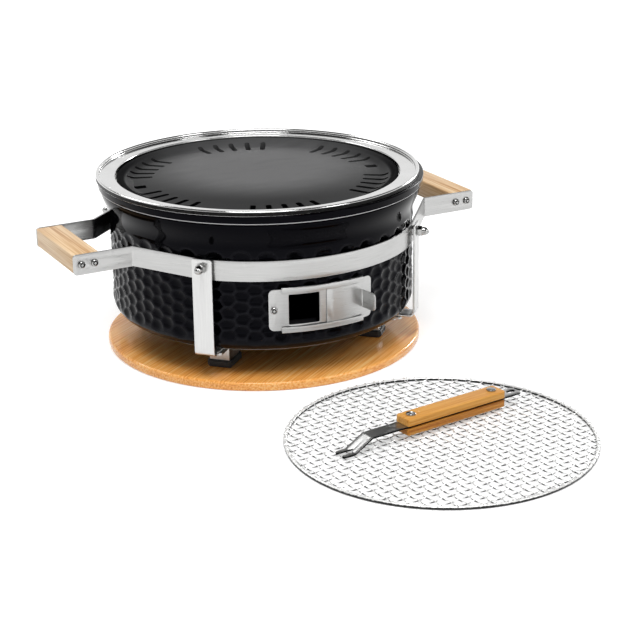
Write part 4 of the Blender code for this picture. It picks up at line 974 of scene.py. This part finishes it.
def door_sheet():
    """The sliding door with its tab, cut as one blank."""
    low, high = VENT_Z - DOOR_OVERLAP, VENT_Z + VENT_HEIGHT + DOOR_OVERLAP
    middle = (low + high) / 2
    tab_low, tab_high = middle - TAB_HALF, middle + TAB_HALF
    length = DOOR_LENGTH
    runs = [(length, length / DOOR_RADIUS), (TAB_BEND * math.pi / 2, -math.pi / 2), (TAB_LENGTH, 0)]
    tab = rounded_outline(length - 0.005, sum(run for run, turn in runs), tab_low, tab_high, TAB_ROUND)
    tongue = [point for point in tab if point.x > length]
    outline = [Vector(point) for point in ((0, low), (length, low), (length, tab_low))] + tongue
    outline += [Vector(point) for point in ((length, tab_high), (length, high), (0, high))]
    turn = VENT_TURN + DOOR_START / VENT_RADIUS

    def place(x, y, across):
        return Matrix.Rotation(turn, 3, "Z") @ Vector((x, y, across))
    return bent(flat_sheet(outline, [], VENT_SHEET, VENT_EASE), (0, -DOOR_RADIUS), runs, place)


piece("sliding_door", door_sheet(), satin, "door", ["vent_door"])
print("vent", len(vent.vertices), "points")

# %% [markdown]
# ## Cooking net
# The net is a plain weave: two sets of crimped wires, each going over one wire of the other set and under the
# next. We follow each wire with a sum, crimp included, stop it at the rim and hook it over the thick rim wire.
# A texture of holes would do from far away, but real wires catch the light and throw real shadows.

# %% Cooking net
NET_TURN = math.radians(7.0)
NET_PITCH = 0.0094
NET_WIRE = 0.00055
NET_MIDDLE = 0.0015
RIM_WIRE = 0.0017
RIM_MIDDLE = GRID_RADIUS - 0.0005 - RIM_WIRE - 2 * NET_WIRE


def tube(points, radius, sides=6):
    """Corner points and faces of a round wire along a line of points."""
    points = np.array(points)
    heading = np.gradient(points, axis=0)
    heading /= np.linalg.norm(heading, axis=1, keepdims=True)
    side = np.cross(heading[0], (0.0, 0.3, 1.0))
    rings = []
    for point, ahead in zip(points, heading):
        side = side - ahead * side.dot(ahead)
        side = side / np.linalg.norm(side)
        lift = np.cross(ahead, side)
        turn = np.arange(sides) * 2 * np.pi / sides
        rings.append(point + radius * (np.outer(np.cos(turn), side) + np.outer(np.sin(turn), lift)))
    faces = [list(range(sides))[::-1], [(len(rings) - 1) * sides + number for number in range(sides)]]
    for ring in range(len(rings) - 1):
        for number in range(sides):
            ahead = (number + 1) % sides
            faces.append([ring * sides + number, ring * sides + ahead,
                          (ring + 1) * sides + ahead, (ring + 1) * sides + number])
    return np.concatenate(rings), faces


def net_wire(number, side):
    """One wire of a set, before it is stopped at the rim: side 1 starts over the wires it crosses, -1 under."""
    count = math.ceil(GRID_RADIUS / NET_PITCH)
    place = np.linspace(-count, count, 2 * count * 8 + 1)
    swing = np.cos(np.pi * place)
    crimp = np.sign(swing) * np.abs(swing) ** 0.7
    rise = side * (-1) ** number * NET_WIRE * crimp
    return np.stack([place * NET_PITCH, np.full_like(place, number * NET_PITCH), NET_MIDDLE + rise], axis=1)


def hook(point):
    """The end of a wire: over the rim wire from its inner side to its outer side."""
    out = np.array((point[0], point[1], 0.0)) / math.hypot(point[0], point[1])
    reach = RIM_WIRE + NET_WIRE
    return [out * (RIM_MIDDLE - reach * math.cos(a)) + np.array((0, 0, RIM_WIRE + reach * math.sin(a)))
            for a in np.linspace(0.1, math.radians(150), 9)]


def net_mesh():
    """Every wire of the net, and the rim wire they hook over."""
    inside = RIM_MIDDLE - RIM_WIRE - 2 * NET_WIRE
    corners, faces = [], []
    count = math.ceil(GRID_RADIUS / NET_PITCH)
    for number in range(-count, count + 1):
        for side, turn in ((1, NET_TURN), (-1, NET_TURN + math.pi / 2)):
            line = net_wire(number, side) @ np.array(Matrix.Rotation(turn, 3, "Z")).T
            kept = line[np.hypot(line[:, 0], line[:, 1]) < inside]
            if len(kept) < 8:
                continue
            first = sum(len(part) for part in corners)
            points, sides = tube(hook(kept[0])[::-1] + kept.tolist() + hook(kept[-1]), NET_WIRE)
            corners.append(points)
            faces += [[first + corner for corner in face] for face in sides]
    mesh = bpy.data.meshes.new("net")
    mesh.from_pydata(np.concatenate(corners).tolist(), [], faces)
    turn = [2 * math.pi * step / 14 for step in range(14)]
    rim = lathe([(RIM_MIDDLE + RIM_WIRE * math.sin(a), RIM_WIRE - RIM_WIRE * math.cos(a)) for a in turn], 192, True)
    return two_finishes(joined([smooth(mesh, 60), rim]), wire, rim_wire,
                        lambda face: face.center.xy.length > inside)


net = net_mesh()
piece("woven_net", net, wire, "grid", ["cooking_grid"], Matrix.Translation(GRID_PLACE))
print("net", len(net.vertices), "points")

# %% [markdown]
# ## Lifter
# The lifter hooks into the plate's two holes to lift it while it is hot. Its blade is cut with two prongs and
# bent twice; two bamboo scales are riveted to it. It lies on the net on its prongs and its rear rivet, so we
# build it level in its own frame and then tilt it into place.

# %% Lifter
NECK_TURN = math.radians(29.0)
NECK_BEND = 0.0040 * NECK_TURN
NECK = 0.0198
PRONG = 0.0110
SHANK = 0.0375
TAIL = 0.0220
SCALE_LENGTH = 0.1160
SCALE_HALF = 0.00925
SCALE_THICKNESS = 0.0068
SCALE_EASE = 0.0015
RIVET_INSET = 0.0100
RIVET_END = 0.0093
NET_TOP = 0.0025
BLADE_RUNS = [(PRONG, 0), (NECK_BEND, NECK_TURN), (NECK, 0), (NECK_BEND, -NECK_TURN),
              (SHANK + SCALE_LENGTH + TAIL, 0)]
BLADE_THICKNESS = 0.0018
BLADE_HALF = 0.0075
BLADE_LENGTH = sum(run for run, turn in BLADE_RUNS)
SCALE_START = BLADE_LENGTH - TAIL - SCALE_LENGTH


def blade_point(distance):
    """A place along the blade's middle, in the lifter's own frame."""
    x, z, _ = along((0, 0), BLADE_RUNS, distance)
    return Vector((x, 0, z))


def blade_sheet():
    """The blade: prongs, neck, shank and a tail with a hole to hang it by."""
    body = rounded_outline(0, BLADE_LENGTH, -BLADE_HALF, BLADE_HALF, STRIP_END_ROUND)
    notch = [(0, 0.0041), (0.0008, 0.0033), (0.0110, 0.0033), (0.0155, 0), (0.0110, -0.0033), (0.0008, -0.0033),
             (0, -0.0041)]
    end = BLADE_LENGTH - STRIP_END_ROUND
    holes = [rounded_outline(end - 0.0090, end, -0.00225, 0.00225, 0.0019)]
    outline = body[:18] + [Vector(point) for point in notch] + body[18:]
    blank = flat_sheet(outline, holes, BLADE_THICKNESS, STRIP_EASE)
    # The blank's cut sides take the shaded steel: painted shade that outlines the blade.
    for face in blank.faces:
        face.material_index = int(abs(face.normal.z) < 0.5)
    blade = bent(blank, (0, 0), BLADE_RUNS, lambda x, z, across: (x, across, z))
    for finish in (satin, shaded):
        blade.materials.append(finish)
    return blade


def scale_block(side):
    """One bamboo scale, above (1) or below (-1) the blade: its outer edges are eased, its seam is sharp."""
    front, back = blade_point(SCALE_START), blade_point(SCALE_START + SCALE_LENGTH)
    near = front.z + side * (BLADE_THICKNESS / 2 + SHEET_GAP)
    loops = []
    for turn in np.linspace(0, math.pi / 2, 6):
        ease = SCALE_EASE * (1 - math.cos(turn))
        outline = rounded_outline(front.x + ease, back.x - ease, ease - SCALE_HALF, SCALE_HALF - ease, 0.0025 - ease)
        height = near + side * (SCALE_THICKNESS - SCALE_EASE + SCALE_EASE * math.sin(turn))
        loops.append([(x, y, height) for x, y in outline])
    loops.insert(0, [(x, y, near) for x, y, _ in loops[0]])
    return loft(loops, 50)


def rivet():
    """A rivet through both scales, with a flat head at each end."""
    half = [(0.0022, 0.0083, 0), (0.0045, 0.0083, 0), (0.0045, RIVET_END, 0.0005), (0.0004, RIVET_END, 0)]
    lower = [(radius, -height, ease) for radius, height, ease in reversed(half)]
    return lathe(softened(lower + half, 4), 32)


rivets = [blade_point(SCALE_START + RIVET_INSET), blade_point(SCALE_START + SCALE_LENGTH - RIVET_INSET)]
head_drop = rivets[1].z - RIVET_END + BLADE_THICKNESS / 2
tilt = math.atan2(head_drop, rivets[1].x - PRONG)
rise = NET_TOP + SHEET_GAP + PRONG * math.sin(tilt) + BLADE_THICKNESS / 2 * math.cos(tilt)
LIFTER = (Matrix.Translation(LIFTER_TIP + Vector((0, 0, rise))) @ Matrix.Rotation(LIFTER_HEADING, 4, "Z")
          @ Matrix.Rotation(tilt, 4, "Y"))
scale_wood = bamboo("lifter_bamboo", ((0.34, 0.10, 0.012), (0.57, 0.235, 0.034), (0.70, 0.36, 0.085)), 0.0068, "X",
                    (0, tilt, LIFTER_HEADING), coat=0.0)
piece("lifter_fork", moved(blade_sheet(), LIFTER), satin, "lifter", ["lifter_blade"])
for half, side in (("upper", 1), ("lower", -1)):
    piece(f"lifter_grip_{half}", moved(scale_block(side), LIFTER), scale_wood, "lifter",
          [f"lifter_{half}_scale"])
for end, place in zip(("front", "rear"), rivets):
    piece(f"lifter_{end}_pin", moved(rivet(), LIFTER @ Matrix.Translation(place)), bright, "lifter",
          [f"lifter_{end}_rivet"])
print("lifter tilted", round(math.degrees(tilt), 2), "degrees")

# %% [markdown]
# ## Solids that stay
# The remaining CAD solids are shown as they are. They only need the same finishes as the pieces around them.

# %% Solids that stay
KEPT = {"stainless_steel": satin, "bamboo": handle_wood, "black_glaze": glaze, "black_cast_iron": iron,
        "black_rubber": rubber}
slot_of = {entry["node"]: entry["material_slot"] for entry in frame["record"]["subparts"]}
kept = [name for name, solid in frame["nodes"].items() if not solid.hide_render]
for name in kept:
    solid = frame["nodes"][name]
    solid.data.materials.clear()
    solid.data.materials.append(KEPT[slot_of[name]])
print("kept", len(kept), "solids")

# %% [markdown]
# ## Bounds
# The finer pieces must stay inside the CAD's own box, or the grill would no longer fit where the CAD says it
# does. Here we take the box round every piece that is shown.

# %% Bounds
low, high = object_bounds()
